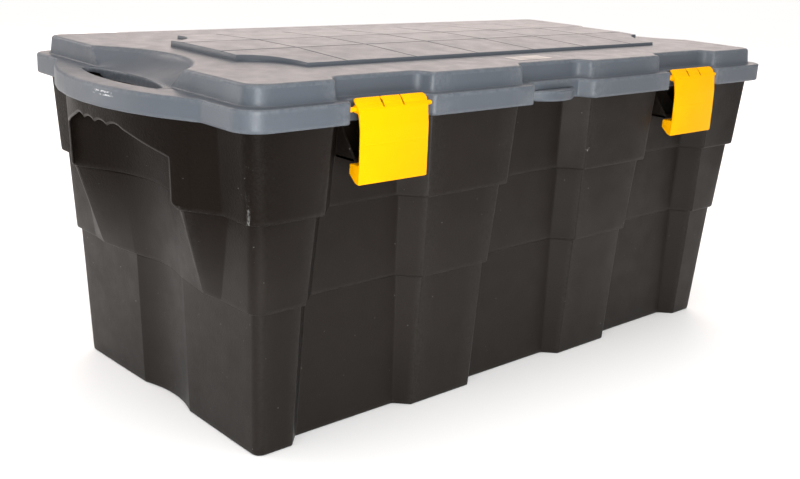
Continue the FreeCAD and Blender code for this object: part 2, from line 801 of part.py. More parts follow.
def make_latch(x):
    """Latch: a bowed sheet with a barrel and trunnions at its pivot and a hook near its foot."""
    front = -half_width
    top = flange_top_z + latch_top_rise
    foot = top - latch_drop
    hook_top = latch_hook_top()
    hook_tip = latch_hook_tip()
    hook_low = hook_top - latch_hook_height
    bow_z = (latch_pivot_z + hook_top) / 2
    low = x - latch_half_width
    high = x + latch_half_width
    edges = []
    outer = [vec(low, front + latch_top_in, top), vec(low, front, latch_pivot_z)]
    outer += [vec(low, front - latch_bow, bow_z), vec(low, front - latch_foot_out, foot)]
    inner = [p + vec(0, latch_sheet, 0) for p in outer]
    edges.append(Part.LineSegment(inner[0], outer[0]).toShape())
    edges.append(Part.LineSegment(outer[0], outer[1]).toShape())
    edges.append(Part.Arc(outer[1], outer[2], outer[3]).toShape())
    edges.append(Part.LineSegment(outer[3], inner[3]).toShape())
    edges.append(Part.Arc(inner[3], inner[2], inner[1]).toShape())
    edges.append(Part.LineSegment(inner[1], inner[0]).toShape())
    sheet = Part.Face(Part.Wire(edges)).extrude(vec(high - low, 0, 0))
    hook_root = front - latch_foot_out + latch_sheet / 2
    hook = yz_solid([
        (hook_root, hook_top),
        (hook_tip, hook_top),
        (hook_tip, hook_top - latch_hook_tip_height),
        (front + latch_sheet, hook_low),
        (hook_root, hook_low),
    ], low, high)
    barrel = rod(latch_barrel_radius, low, high, latch_pivot_y, latch_pivot_z)
    web = yz_solid([
        (front + latch_sheet / 2, latch_pivot_z - latch_barrel_radius),
        (latch_pivot_y, latch_pivot_z - latch_barrel_radius),
        (latch_pivot_y, latch_pivot_z + latch_barrel_radius),
        (front + latch_sheet / 2, latch_pivot_z + latch_barrel_radius),
    ], low, high)
    trunnions = rod(trunnion_radius, low - trunnion_length, high + trunnion_length, latch_pivot_y,
                    latch_pivot_z)
    latch = fuse_all([sheet, hook, barrel, web, trunnions])
    for offset in (-slit_offset, slit_offset):
        at = x + offset
        latch = latch.cut(box(at - slit_width / 2, at + slit_width / 2, front,
                              front + latch_top_in + 2 * latch_sheet, top - slit_length, top + 1.0))
    return latch


def make_hinge_pin(x):
    """Plain rod through one hinge's ears and knuckle."""
    reach = knuckle_half_length + ear_side_gap + ear_thickness + hinge_pin_overhang
    return rod(hinge_pin_radius, x - reach, x + reach, hinge_y, hinge_z)


def make_label():
    """Thin blank label that lies flat on the lid's top, behind the centre recess."""
    edge_y = -half_width + centre_recess_depth + ledge_width + upper_draft + edge_ease
    y = edge_y + label_front_gap
    half = label_length / 2
    return box(-half, half, y, y + label_width, upper_top_z, upper_top_z + label_thickness)


def main():
    """Makes every piece and writes one STEP file for each."""
    os.makedirs("parts", exist_ok=True)
    pieces = tub_nodes(make_tub())
    pieces.update({
        "lid": make_lid(),
        "left_latch": make_latch(-latch_centre_x),
        "right_latch": make_latch(latch_centre_x),
        "left_hinge_pin": make_hinge_pin(-hinge_centre_x),
        "right_hinge_pin": make_hinge_pin(hinge_centre_x),
        "blank_label": make_label(),
    })
    for name, shape in pieces.items():
        shape.exportStep("parts/" + name + ".step")
        print(name, shape.isValid(), len(shape.Solids), round(shape.Volume / 1000, 1), "cm3")


main()
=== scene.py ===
import json
import math

import bpy
import numpy as np
from bpy.props import FloatProperty, FloatVectorProperty, PointerProperty
from bpy.types import NodeSocket, Operator, Panel, PropertyGroup
from mathutils import Matrix, Vector


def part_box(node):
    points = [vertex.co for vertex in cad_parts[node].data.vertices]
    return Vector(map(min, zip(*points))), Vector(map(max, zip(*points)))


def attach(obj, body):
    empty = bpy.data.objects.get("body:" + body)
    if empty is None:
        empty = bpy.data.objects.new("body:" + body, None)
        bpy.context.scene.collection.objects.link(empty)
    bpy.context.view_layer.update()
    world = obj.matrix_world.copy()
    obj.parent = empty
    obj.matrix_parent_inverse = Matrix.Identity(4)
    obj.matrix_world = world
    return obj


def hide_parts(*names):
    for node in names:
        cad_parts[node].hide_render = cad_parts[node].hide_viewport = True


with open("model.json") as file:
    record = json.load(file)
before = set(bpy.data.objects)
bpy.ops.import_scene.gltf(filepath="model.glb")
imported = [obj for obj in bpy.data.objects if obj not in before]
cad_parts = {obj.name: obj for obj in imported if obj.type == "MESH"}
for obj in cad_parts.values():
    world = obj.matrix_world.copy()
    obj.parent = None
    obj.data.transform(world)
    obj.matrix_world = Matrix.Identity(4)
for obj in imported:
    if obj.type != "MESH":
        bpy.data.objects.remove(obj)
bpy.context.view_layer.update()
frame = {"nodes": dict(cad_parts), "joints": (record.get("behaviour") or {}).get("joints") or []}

bl_info = {
    "name": "Plastic storage trunk",
    "version": (1, 0, 0),
    "blender": (4, 5, 0),
    "location": "View3D > Sidebar > Trunk",
    "description": "Moulded tub, hinged lid, swing latches and stage of a plastic storage trunk",
    "category": "Add Mesh",
}

# Outlines' corners are written in millimetres, meshes are in metres.
MM = 0.001
# Steps of a rounded corner and points along a side of a ring.
ARC_STEPS = 8
SIDE_STEPS = 3
# Least way from a corner to the start of its round, and least radius of an outline that is moved in.
LEAST_CUT = 0.3 * MM
LEAST_RADIUS = 0.4 * MM
# Sine and versine of a quarter turn in even steps: the two moves of a rounded edge.
SINE = np.sin(np.linspace(0, math.pi / 2, 5))
VERSINE = 1 - np.cos(np.linspace(0, math.pi / 2, 5))
# Turns a right-hand piece into a left-hand one.
FLIP_X = np.array([-1, 1, 1])
# How far each of the tub's six outlines lies inside the one above, along X and Y, in millimetres.
TUB_DRAFTS = ((0, 0), (9, 5), (7.5, 7.5), (6, 6), (5.5, 5.5), (9, 8))
# In millimetres: depth of the tub's bays at the rim, half the way between the handle legs, hinges' X.
BAY_DEPTH = 28
LEG_Y = 128
HINGE_X = 300
# Extra corners along the lid's straight rear edge, in millimetres.
REAR_X = (430, 320, 235, 160, 60, 20)
# Half width and depth of the lid's end scoops at the upper step's foot and top, in millimetres.
SCOOP_HALF = (85.0, 109.0)
SCOOP_DEPTH = (8.0, 50.0)
# Tip of the ledge beside a hand slot: distance from the middle along Y and place along X, in millimetres.
SLOT_TIP_Y = (84, 86, 87.5, 88.3, 90, 92, 97)
SLOT_TIP_X = (496.5, 496.5, 499.5, 503.5, 505.5, 507.1, 486.0)
# Profile of a hand slot's collar: distance out from the slot and below the flange's top, in millimetres.
COLLAR = (
    (2.5, 0.0), (1.3, 0.0), (0.5, 0.3), (0.0, 1.2), (0.0, 2.5), (0.0, 11.0), (0.6, 11.6), (1.9, 11.6),
    (2.5, 11.0), (2.5, 1.0),
)
# Half axes of the elliptic scallops at the raised panel's corners, and rounding of its tiles at a groove.
SCALLOP = np.array([51.5, 70.5]) * MM
GROOVE_EASE = 0.5 * MM
# Slits between a latch's fingers: their distance from its middle and half their width.
SLIT_AT = 15 * MM
SLIT_HALF = 0.8 * MM
# CAD nodes that the tub's shell stands for.
TUB_NODES = ("tub_floor", "tub_front", "tub_rear", "tub_left_end", "tub_right_end")


def length(name, text, millimetres):
    """A length that a user may change, kept in metres."""
    return FloatProperty(name=name, description=text, default=millimetres * MM, unit="LENGTH", precision=4)


def colour(name, text, rgb):
    """A colour that a user may change, in linear light."""
    return FloatVectorProperty(name=name, description=text, default=rgb, min=0.0, max=1.0, subtype="COLOR")


class TrunkLidSizes(PropertyGroup):
    """Sizes of the lid."""
    half_length: length("Half length", "From the middle to the flange's straight end", 500.0)
    half_width: length("Half width", "From the middle to the flange's front edge", 253.0)
    corner: length("Flange corner", "Corner radius of the flange", 31.0)
    skirt_bottom: length("Skirt bottom", "Height of the skirt's lower edge", 395.0)
    flange_top: length("Flange top", "Height of the flange's top face", 420.0)
    wall: length("Wall", "Thickness of the lid's wall", 3.0)
    ledge: length("Ledge", "Width of the ledge round the upper step", 14.0)
    upper_corner: length("Upper corner", "Corner radius of the upper step", 24.0)
    upper_top: length("Upper top", "Height of the upper step's top face", 443.0)
    upper_draft: length("Upper draft", "Inward lean of the upper step's wall", 2.0)
    flange_edge: length("Flange edge", "Rounding along the flange's top edge", 2.6)
    upper_edge: length("Upper edge", "Rounding along the upper step's top edge", 4.4)
    latch_at: length("Latch place", "Distance of each latch from the middle", 300.0)
    latch_recess_half: length("Latch recess half", "Half the width of a latch recess", 63.5)
    latch_recess_depth: length("Latch recess depth", "Depth of a latch recess", 20.0)
    centre_recess_half: length("Centre recess half", "Half the width of the centre recess", 62.0)
    centre_recess_depth: length("Centre recess depth", "Depth of the centre recess", 20.0)
    handle_half: length("Handle half width", "Half the width of a handle bulge", 170.0)
    handle_flare: FloatProperty(name="Handle flare", description="Angle of a handle bulge's sides",
                                default=math.radians(31.57), subtype="ANGLE")
    nose_radius: length("Nose radius", "Radius of a handle bulge's nose", 315.0)
    slot_point: length("Slot point", "From the middle to where a hand slot's two curves would meet", 99.5)
    slot_rim: length("Slot rim", "Width of the rim outside a hand slot", 29.0)
    panel_top: length("Panel top", "Height of the raised panel along its middle", 451.2)
    panel_side: length("Panel side", "Height of the raised panel at its long sides", 447.4)
    panel_half_length: length("Panel half length", "Half the length of the raised panel", 392.0)
    panel_half_width: length("Panel half width", "Half the width of the raised panel", 144.0)
    panel_lean: length("Panel lean", "Inward lean of the raised panel's side", 0.2)
    panel_edge: length("Panel edge", "Rounding along the raised panel's top edge", 0.9)
    groove_width: length("Groove width", "Width of the panel's grooves", 2.4)
    groove_depth: length("Groove depth", "Depth of the panel's grooves", 0.6)
    groove_row: length("Groove row", "From the middle to each long groove of the panel", 43.5)
    groove_pitch: length("Groove pitch", "Distance between the panel's cross grooves", 112.4)


class TrunkTubSizes(PropertyGroup):
    """Sizes of the tub."""
    wall: length("Wall", "Thickness of the tub's wall", 3.0)
    floor: length("Floor", "Thickness of the tub's floor", 3.5)
    foot_ease: length("Foot ease", "Rounding along the foot", 3.0)
    low_step: length("Low step", "Height of the lower step", 182.0)
    high_step: length("High step", "Height of the upper step", 290.0)
    rim: length("Rim", "Height of the rim's underside", 413.3)
    rim_top: length("Rim top", "Height of the rim's top face", 416.7)
    step_edge: length("Step edge", "Rounding along the steps' lower edges", 2.2)
    end_overhang: length("End overhang", "How far the lid overhangs the tub's ends", 15.0)
    side_overhang: length("Side overhang", "How far the lid overhangs the tub's sides", 14.0)
    apron_wall: length("Apron wall", "Thickness of the handles' aprons", 3.5)
    apron_edge: length("Apron edge", "Height of the apron's lower edge at its middle", 371.0)
    apron_leg: length("Apron leg", "Height where the apron's lower edge meets the legs", 349.0)


class TrunkLatchSizes(PropertyGroup):
    """Sizes of the latches and their keepers."""
    half_width: length("Half width", "Half the width of a latch", 51.5)
    sheet: length("Sheet", "Thickness of a latch's sheet", 2.6)
    drop: length("Drop", "Height of a latch", 95.5)
    bow: length("Bow", "How far a latch's sheet bows out", 3.5)
    pivot_in: length("Pivot inset", "From the flange's front to the pivot", 7.0)
    pivot_below: length("Pivot drop", "From the flange's top to the pivot", 9.5)
    trunnion_radius: length("Trunnion radius", "Radius of a latch's trunnions", 2.8)
    trunnion_length: length("Trunnion length", "Length of a trunnion", 11.0)
    keeper_half: length("Keeper half width", "Half the width of a keeper", 46.0)
    keeper_height: length("Keeper height", "Height of a keeper's ribs", 42.0)


class TrunkColours(PropertyGroup):
    """Colours of the trunk and of its stage."""
    tub: colour("Tub", "Near-black moulded plastic", (0.0062, 0.0042, 0.0030))
    lid: colour("Lid", "Grey moulded plastic", (0.070, 0.080, 0.095))
    latch: colour("Latch", "Yellow moulded plastic", (0.86, 0.375, 0.0))
    label: colour("Label", "Bare pale film", (0.20, 0.188, 0.18))
    pin: colour("Hinge pin", "Drawn steel", (0.50, 0.50, 0.51))
    floor: colour("Floor", "Plain pale floor", (0.92, 0.92, 0.92))


class TrunkSettings(PropertyGroup):
    """All settings of the trunk."""
    lid: PointerProperty(type=TrunkLidSizes)
    tub: PointerProperty(type=TrunkTubSizes)
    latch: PointerProperty(type=TrunkLatchSizes)
    colours: PointerProperty(type=TrunkColours)


def unit(vectors):
    """Vectors of length one."""
    return vectors / np.linalg.norm(vectors, axis=1)[:, None]


def left_of(vectors):
    """Vectors turned a quarter turn against the clock."""
    return np.stack([-vectors[:, 1], vectors[:, 0]], 1)


def cross(a, b):
    """Cross products of vectors in a plane."""
    return a[:, 0] * b[:, 1] - a[:, 1] * b[:, 0]


def arc_radius(half, rise):
    """Radius of the circle through a chord's ends and a point that stands a rise above its middle."""
    return (half * half + rise * rise) / (2 * rise)


def drawn(corners):
    """Outline from corners in millimetres with a radius each: arrays of places and of radii in metres."""
    p = np.array(corners, float) * MM
    return p[:, :2], p[:, 2]


def yz_outline(corners):
    """Outline in the YZ plane from corners in millimetres, put against the clock as seen from +X."""
    p = np.array(corners, float)
    return drawn(p if cross(p, np.roll(p, -1, 0)).sum() > 0 else p[::-1])


def rounded_loop(points, radii, arc_steps=ARC_STEPS, side_steps=SIDE_STEPS):
    """Closed outline of a polygon: each corner becomes a circular arc, written as a rational quadratic
    curve whose middle weight is the cosine of half the turn, and each side between two arcs is divided
    evenly. Radii shrink where two neighbours would meet. Also gives each point's edge share, which the
    materials paint paler as worn edge and painted highlight: one on a sharp convex corner, less on a
    rounder one, nought from a radius of 40 mm on and along the sides."""
    p = np.asarray(points, float)
    r = np.asarray(radii, float)
    onward = np.roll(p, -1, 0) - p
    u = unit(np.roll(p, 1, 0) - p)
    v = unit(onward)
    turn = np.arccos(np.clip(-(u * v).sum(1), -1, 1))
    cut = np.maximum(r * np.tan(turn / 2), LEAST_CUT)
    room = 0.97 * np.linalg.norm(onward, axis=1) / (cut + np.roll(cut, -1))
    cut = cut * np.minimum(1, np.minimum(room, np.roll(room, 1)))
    start = p + u * cut[:, None]
    end = p + v * cut[:, None]
    t = np.linspace(0, 1, arc_steps + 1)
    middle = 2 * t * (1 - t) * np.cos(turn / 2)[:, None]
    weights = np.stack(np.broadcast_arrays((1 - t) ** 2, middle, t ** 2), -1)
    arc = weights @ np.stack([start, p, end], 1) / weights.sum(-1, keepdims=True)
    s = np.arange(1, side_steps + 1)[:, None] / (side_steps + 1)
    side = end[:, None] * (1 - s) + np.roll(start, -1, 0)[:, None] * s
    loop = np.concatenate([arc, side], 1)
    pale_corner = (cross(v, u) > 0) & (turn > 0.3) & (r < 40 * MM)
    wear = np.zeros(loop.shape[:2])
    wear[:, :arc_steps + 1] = np.where(pale_corner, np.minimum(1, 6 * MM / np.maximum(r, 1 * MM)), 0.0)[:, None]
    return loop.reshape(-1, 2), wear.reshape(-1)


def inset(outline, distance):
    """An outline moved inwards: each corner goes to where its two moved sides meet, convex radii shrink
    by the distance and concave ones grow by it."""
    p, r = outline
    a = unit(p - np.roll(p, 1, 0))
    b = unit(np.roll(p, -1, 0) - p)
    normal = left_of(a + b)
    moved = p + normal * (2 * distance / (normal * normal).sum(1))[:, None]
    return moved, np.maximum(np.where(cross(a, b) > 0, r - distance, r + distance), LEAST_RADIUS)


def blend(first, second, share):
    """Outline between two outlines with like corners, by shares of their corners and radii."""
    return first[0] * (1 - share) + second[0] * share, first[1] * (1 - share) + second[1] * share


def picked(mask, first, second):
    """Outline with the first outline's corners where a mask holds, and the second's elsewhere."""
    return np.where(mask[:, None], first[0], second[0]), np.where(mask, first[1], second[1])


def lower_edge(outline, z, radius, wear):
    """Levels of a quarter round along a lower edge: each is an outline, its height and its edge share,
    which the materials paint paler as worn edge and painted light.
    """
    return [(inset(outline, radius * (1 - s)), z + radius * v, wear) for s, v in zip(SINE, VERSINE)]


def upper_edge(outline, z, radius, wear):
    """Levels of a quarter round along an upper edge: each is an outline, its height and its edge share,
    which the materials paint paler as worn edge and painted light.
    """
    return [(inset(outline, radius * v), z - radius * (1 - s), wear) for s, v in zip(SINE, VERSINE)]


def stack(levels, steps=(ARC_STEPS, SIDE_STEPS)):
    """Rings of levels, and their edge share for worn edges and painted light: the larger of a level's own
    and that of its outline's corners.
    """
    rows = []
    wear = []
    for outline, z, edge in levels:
        loop, sharp = rounded_loop(*outline, *steps)
        rows.append(np.concatenate([loop, np.full((len(loop), 1), z)], 1))
        wear.append(np.maximum(sharp, edge))
    return np.array(rows), np.array(wear)


class Skin:
    """Gathers grids of points into one mesh. Faces join each row of a grid to the next."""

    def __init__(self):
        self.points = []
        self.faces = []
        self.wear = []
        self.count = 0

    def rows(self, grid, wear=0.0, first_cap=False, last_cap=False, closed=True):
        """Adds a grid: closed rings, with a flat face over the first or last if asked, or an open sheet."""
        grid = np.asarray(grid, float)
        shape = grid.shape[:2]
        index = self.count + np.arange(shape[0] * shape[1]).reshape(shape)
        after = np.roll(index, -1, 1)
        quads = np.stack([index[:-1], after[:-1], after[1:], index[1:]], -1)
        if not closed:
            quads = quads[:, :-1]
        self.faces.extend(quads.reshape(-1, 4).tolist())
        if first_cap:
            self.faces.append(index[0, ::-1].tolist())
        if last_cap:
            self.faces.append(index[-1].tolist())
        self.points.append(grid.reshape(-1, 3))
        self.wear.append(np.broadcast_to(np.asarray(wear, float), shape).reshape(-1))
        self.count += index.size

    def piece(self, name, body, material, slot, *nodes):
        """Makes the smooth mesh object, riding on a body and standing for the nodes that are named."""
        mesh = bpy.data.meshes.new(name)
        mesh.from_pydata(np.concatenate(self.points), [], self.faces)
        mesh.update()
        mesh.polygons.foreach_set("use_smooth", np.ones(len(mesh.polygons), bool))
        attribute = mesh.attributes.new("wear", "FLOAT", "POINT")
        attribute.data.foreach_set("value", np.concatenate(self.wear).astype(np.float32))
        mesh.validate()
        piece = bpy.data.objects.new(name, mesh)
        bpy.context.scene.collection.objects.link(piece)
        mesh.materials.append(material)
        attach(piece, body)
        if nodes:
            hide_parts(*nodes)


def swept(skin, outline, x0, x1, edge, arc=6):
    """Adds a bar: an outline in the YZ plane carried along X, with a quarter round at both ends."""
    a = np.linspace(0, math.pi / 2, 4)
    over = edge * (1 - np.cos(a))
    draw = edge * (1 - np.sin(a))
    rows = []
    wear = []
    for x, d in zip([*(x0 + over), *(x1 - over[::-1])], [*draw, *draw[::-1]]):
        loop, sharp = rounded_loop(*inset(outline, d), arc, 2)
        rows.append(np.concatenate([np.full((len(loop), 1), x), loop], 1))
        wear.append(np.maximum(sharp, 0.5 if d < edge * 0.99 else 0.3))
    skin.rows(rows, wear, first_cap=True, last_cap=True)


def round_bar(skin, y, z, radius, x0, x1, edge):
    """Adds a round bar along X: a square outline rounded to a circle."""
    r = radius / MM
    corners = [(y - r, z - r, r), (y + r, z - r, r), (y + r, z + r, r), (y - r, z + r, r)]
    swept(skin, yz_outline(corners), x0, x1, edge, arc=8)


def bulge_reach(y, depth):
    """How far a handle bulge reaches along X at y, a given depth inside the lid's edge, in millimetres: a
    circle of the nose radius about a point on the X axis."""
    lid = bpy.context.scene.trunk.lid
    flare = lid.handle_flare
    radius = lid.nose_radius / MM
    centre = (lid.half_length + lid.handle_half * math.tan(flare)) / MM - radius / math.cos(flare)
    return centre + np.sqrt((radius - depth) ** 2 - np.asarray(y, float) ** 2)


def tub_level(a, b, bay, depth, corner, ends):
    """Outline of the tub at one level, in millimetres: pilasters and bays along the front and the
    handle's shape at the right end, both mirrored to the rear and to the left, in order against the clock
    seen from above."""
    at = bpy.context.scene.trunk.lid.latch_at / MM
    near = np.array([
        (bay - depth, -b + depth, 6), (bay, -b, 4.5),
        (at - bay, -b, 4.5), (at - bay + depth, -b + depth, 6),
        (at + bay - depth, -b + depth, 6), (at + bay, -b, 4.5),
        (a, -b, corner), *ends[:-1],
    ], float)
    right = np.concatenate([near, [ends[-1]], near[::-1] * np.array([1, -1, 1])])
    return drawn(np.concatenate([right, right[::-1] * FLIP_X]))


def tub_outlines():
    """The tub's six outlines from rim to foot, with like corners, so that any two can be blended."""
    trunk = bpy.context.scene.trunk
    half_length = (trunk.lid.half_length - trunk.tub.end_overhang) / MM
    half_width = (trunk.lid.half_width - trunk.tub.side_overhang) / MM
    a, b = np.array([[half_length], [half_width]]) - np.cumsum(TUB_DRAFTS, 0).T

    def hand_end(a, leg_inset):
        """End with a hand hole: the corner, the leg out to the bulge, and a hollow between the legs."""
        leg = float(bulge_reach(LEG_Y, leg_inset))
        deep = a - 37
        bend = leg + 0.2 * (deep - leg)
        return [(a, -175, 9), (leg, -LEG_Y, 5), (bend, -LEG_Y * 0.8, 30), (deep, 0, 180)]

    def foot_end(a):
        """End at the foot: a shallow hollow between flat legs."""
        return [(a - 0.4, -152, 30), (a - 0.9, -121, 30), (a - 2, -56, 6), (a - 20, 0, 150)]

    leg = float(bulge_reach(LEG_Y, 20))
    ends = [
        hand_end(a[0], 11),
        hand_end(a[1], 16.5),
        [(a[2], -175, 8), (leg, -LEG_Y, 5), (a[2] + 2, -62, 8), (a[2] - 20, 0, 150)],
        [(a[3], -152, 8), (a[3] + 4, -121, 5), (a[3] - 5.5, -56, 8), (a[3] - 20, 0, 150)],
        foot_end(a[4]),
        foot_end(a[5]),
    ]
    bays = (74, 80, 86, 92, 95, 97)
    depths = (BAY_DEPTH, BAY_DEPTH, 25.5, 25.5, 23.5, 18)
    corners = (21, 21, 17, 17, 12, 12)
    return [tub_level(*level) for level in zip(a, b, bays, depths, corners, ends)]


class TRUNK_OT_tub_shell(Operator):
    """Tub shell: rings of the tub's outlines, up the outside over rounded steps and down the inside."""
    bl_idname = "trunk.tub_shell"
    bl_label = "Tub shell"

    def execute(self, context):
        tub = context.scene.trunk.tub
        rim, high, middle, low, pad, foot = tub_outlines()
        r = tub.step_edge
        t = tub.wall
        hollow = 1.5 * MM
        rim_edge = 1.2 * MM
        levels = lower_edge(foot, 0.0, tub.foot_ease, 0.6)
        for below, above, over, z0, z1, ease in (
            (foot, pad, low, 0.0, tub.low_step, tub.foot_ease),
            (low, middle, high, tub.low_step, tub.high_step, r),
        ):
            for z in np.linspace(z0 + ease + 4 * MM, z1 - hollow - 2 * MM, 5):
                levels.append((blend(below, above, (z - z0) / (z1 - z0)), z, 0.0))
            for s, v in zip(SINE, VERSINE):
                levels.append((self.under_step(above, hollow * v), z1 - hollow * (1 - s), 0.0))
            # The steps' lower edges get a high edge share, which the material paints paler: worn edge and
            # painted highlight.
            levels += lower_edge(over, z1, r, 0.9)
        rise = tub.rim - tub.high_step
        for z in np.linspace(tub.high_step + r + 4 * MM, tub.rim_top - rim_edge, 6):
            levels.append((blend(high, rim, min(1, (z - tub.high_step) / rise)), z, 0.0))
        levels += upper_edge(rim, tub.rim_top, rim_edge, 0.3)[1:]
        # Inside: outline, millimetres further in than the wall, height, and millimetres above it.
        inside = [(rim, -0.8, tub.rim_top, 0), (rim, 0, tub.rim_top, -0.8),
                  (blend(high, rim, 0.5), 0, (tub.high_step + tub.rim) / 2, 0)]
        for upper, under, z in ((high, middle, tub.high_step), (low, pad, tub.low_step)):
            inside += [(upper, 0, z + t, 1), (upper, 1, z + t, 0)]
            inside += [(under, 0, z + t, -0.5), (under, 0, z, -3)]
        inside += [(foot, 0, tub.floor, 3), (foot, 1, tub.floor, 1), (foot, 3, tub.floor, 0)]
        levels += [(inset(outline, t + more * MM), z + up * MM, 0.0) for outline, more, z, up in inside]
        skin = Skin()
        skin.rows(*stack(levels), first_cap=True, last_cap=True)
        skin.piece("tub_shell", "tub", tub_plastic(), "tub_plastic", *TUB_NODES)
        return {"FINISHED"}

    def under_step(self, outline, ease):
        """Outline moved out by an ease under a wall above it, and in by it on the hand holes' ledges."""
        ledge = (np.abs(outline[0][:, 0]) > 0.3) & (np.abs(outline[0][:, 1]) < 0.1)
        return picked(ledge, inset(outline, ease), inset(outline, -ease))


def lid_outline(end_points, corner, edge_x, edge_y, ledge=0.0):
    """Outline of the lid in millimetres: recessed at the front, straight at the rear, with rounds that
    come out right once it is moved in by a ledge. The end points are those from the front corner to the
    middle of the end."""
    lid = bpy.context.scene.trunk.lid
    at = lid.latch_at / MM
    c_half = lid.centre_recess_half / MM
    c_deep = lid.centre_recess_depth / MM
    l_half = lid.latch_recess_half / MM
    l_deep = lid.latch_recess_depth / MM
    edge = 7.5 + ledge
    hollow = 14 - ledge if ledge else 4
    right = np.array([
        (c_half - 0.65 * c_deep, -edge_y + c_deep, hollow), (c_half, -edge_y, edge),
        (at - l_half, -edge_y, edge), (at - l_half + 0.5 * l_deep, -edge_y + l_deep, hollow),
        (at + l_half - 0.5 * l_deep, -edge_y + l_deep, hollow), (at + l_half, -edge_y, edge),
        (edge_x, -edge_y, corner + ledge),
        *end_points,
        *[(x, -y, r) for x, y, r in end_points[-2::-1]],
        (edge_x, edge_y, corner + ledge),
        *[(x, edge_y, 50) for x in REAR_X],
    ], float)
    return drawn(np.concatenate([right, right[::-1] * FLIP_X]))


def flange_outline():
    """Outline of the lid's flange with its handle bulges."""
    lid = bpy.context.scene.trunk.lid
    x = lid.half_length / MM
    half = lid.handle_half / MM
    tip = x + half * math.tan(lid.handle_flare)
    ends = [(x, -half, 16), (x + 0.03 * (tip - x), -half * 0.97, 300), (tip, 0, lid.nose_radius / MM)]
    return lid_outline(ends, lid.corner / MM, x, lid.half_width / MM)


def slot_apex():
    """Place along X of a hand slot's inner curve at its middle, in millimetres."""
    lid = bpy.context.scene.trunk.lid
    return (lid.half_length - lid.ledge) / MM - SCOOP_DEPTH[0] + 1


def slot_outline():
    """Outline of the right-hand hand slot: a lens between a circle that bows towards the lid's middle and
    one along the handle's rim, drawn as two corners whose rounds are those circles and two tips."""
    lid = bpy.context.scene.trunk.lid
    point = lid.slot_point / MM
    rim = lid.slot_rim / MM
    outer_radius = lid.nose_radius / MM - rim
    apex = slot_apex()
    inner_radius = arc_radius(point, float(bulge_reach(point, rim)) - apex)
    inner_angle = math.asin(0.8 * point / inner_radius)
    outer_angle = math.asin(0.8 * point / outer_radius)
    inner = apex + inner_radius * (1 - 1 / math.cos(inner_angle))
    outer = float(bulge_reach(0, rim)) + outer_radius * (1 / math.cos(outer_angle) - 1)
    tip_y = (outer - inner) / (math.tan(inner_angle) + math.tan(outer_angle))
    tip_x = inner + tip_y * math.tan(inner_angle)
    tip = 7
    return drawn([
        (inner, 0, inner_radius), (tip_x, -tip_y, tip), (outer, 0, outer_radius), (tip_x, tip_y, tip),
    ])


def upper_outline(half, depth, over):
    """Outline of the upper step: the flange without bulges moved in by the ledge, and at each end a scoop
    of a given half width and depth, an arc that meets the end at both sides."""
    lid = bpy.context.scene.trunk.lid
    step = lid.ledge / MM
    x = lid.half_length / MM - step
    deep = x - half * math.tan(2 * math.atan2(depth, half))
    ends = [(x, -half, 4), (x + 0.04 * (deep - x), -half * 0.96, 300), (deep, 0, arc_radius(half, depth))]
    plain = lid_outline(ends, lid.upper_corner / MM, x + step, lid.half_width / MM, step)
    at_end = (np.abs(plain[0][:, 1]) < (half + 0.5) * MM) & (np.abs(plain[0][:, 0]) > 0.2)
    return inset(picked(at_end, plain, inset(plain, lid.ledge)), over)


def scooped(share):
    """Half width and depth of the end scoops at a share of the upper step's height: straight sides that
    lean out, and a bowl whose depth follows a sine."""
    share = float(np.clip(share, 0, 1))
    bowl = math.sin(share * math.pi / 2) ** 0.9
    half = SCOOP_HALF[0] + (SCOOP_HALF[1] - SCOOP_HALF[0]) * share
    return half, SCOOP_DEPTH[0] + (SCOOP_DEPTH[1] - SCOOP_DEPTH[0]) * bowl


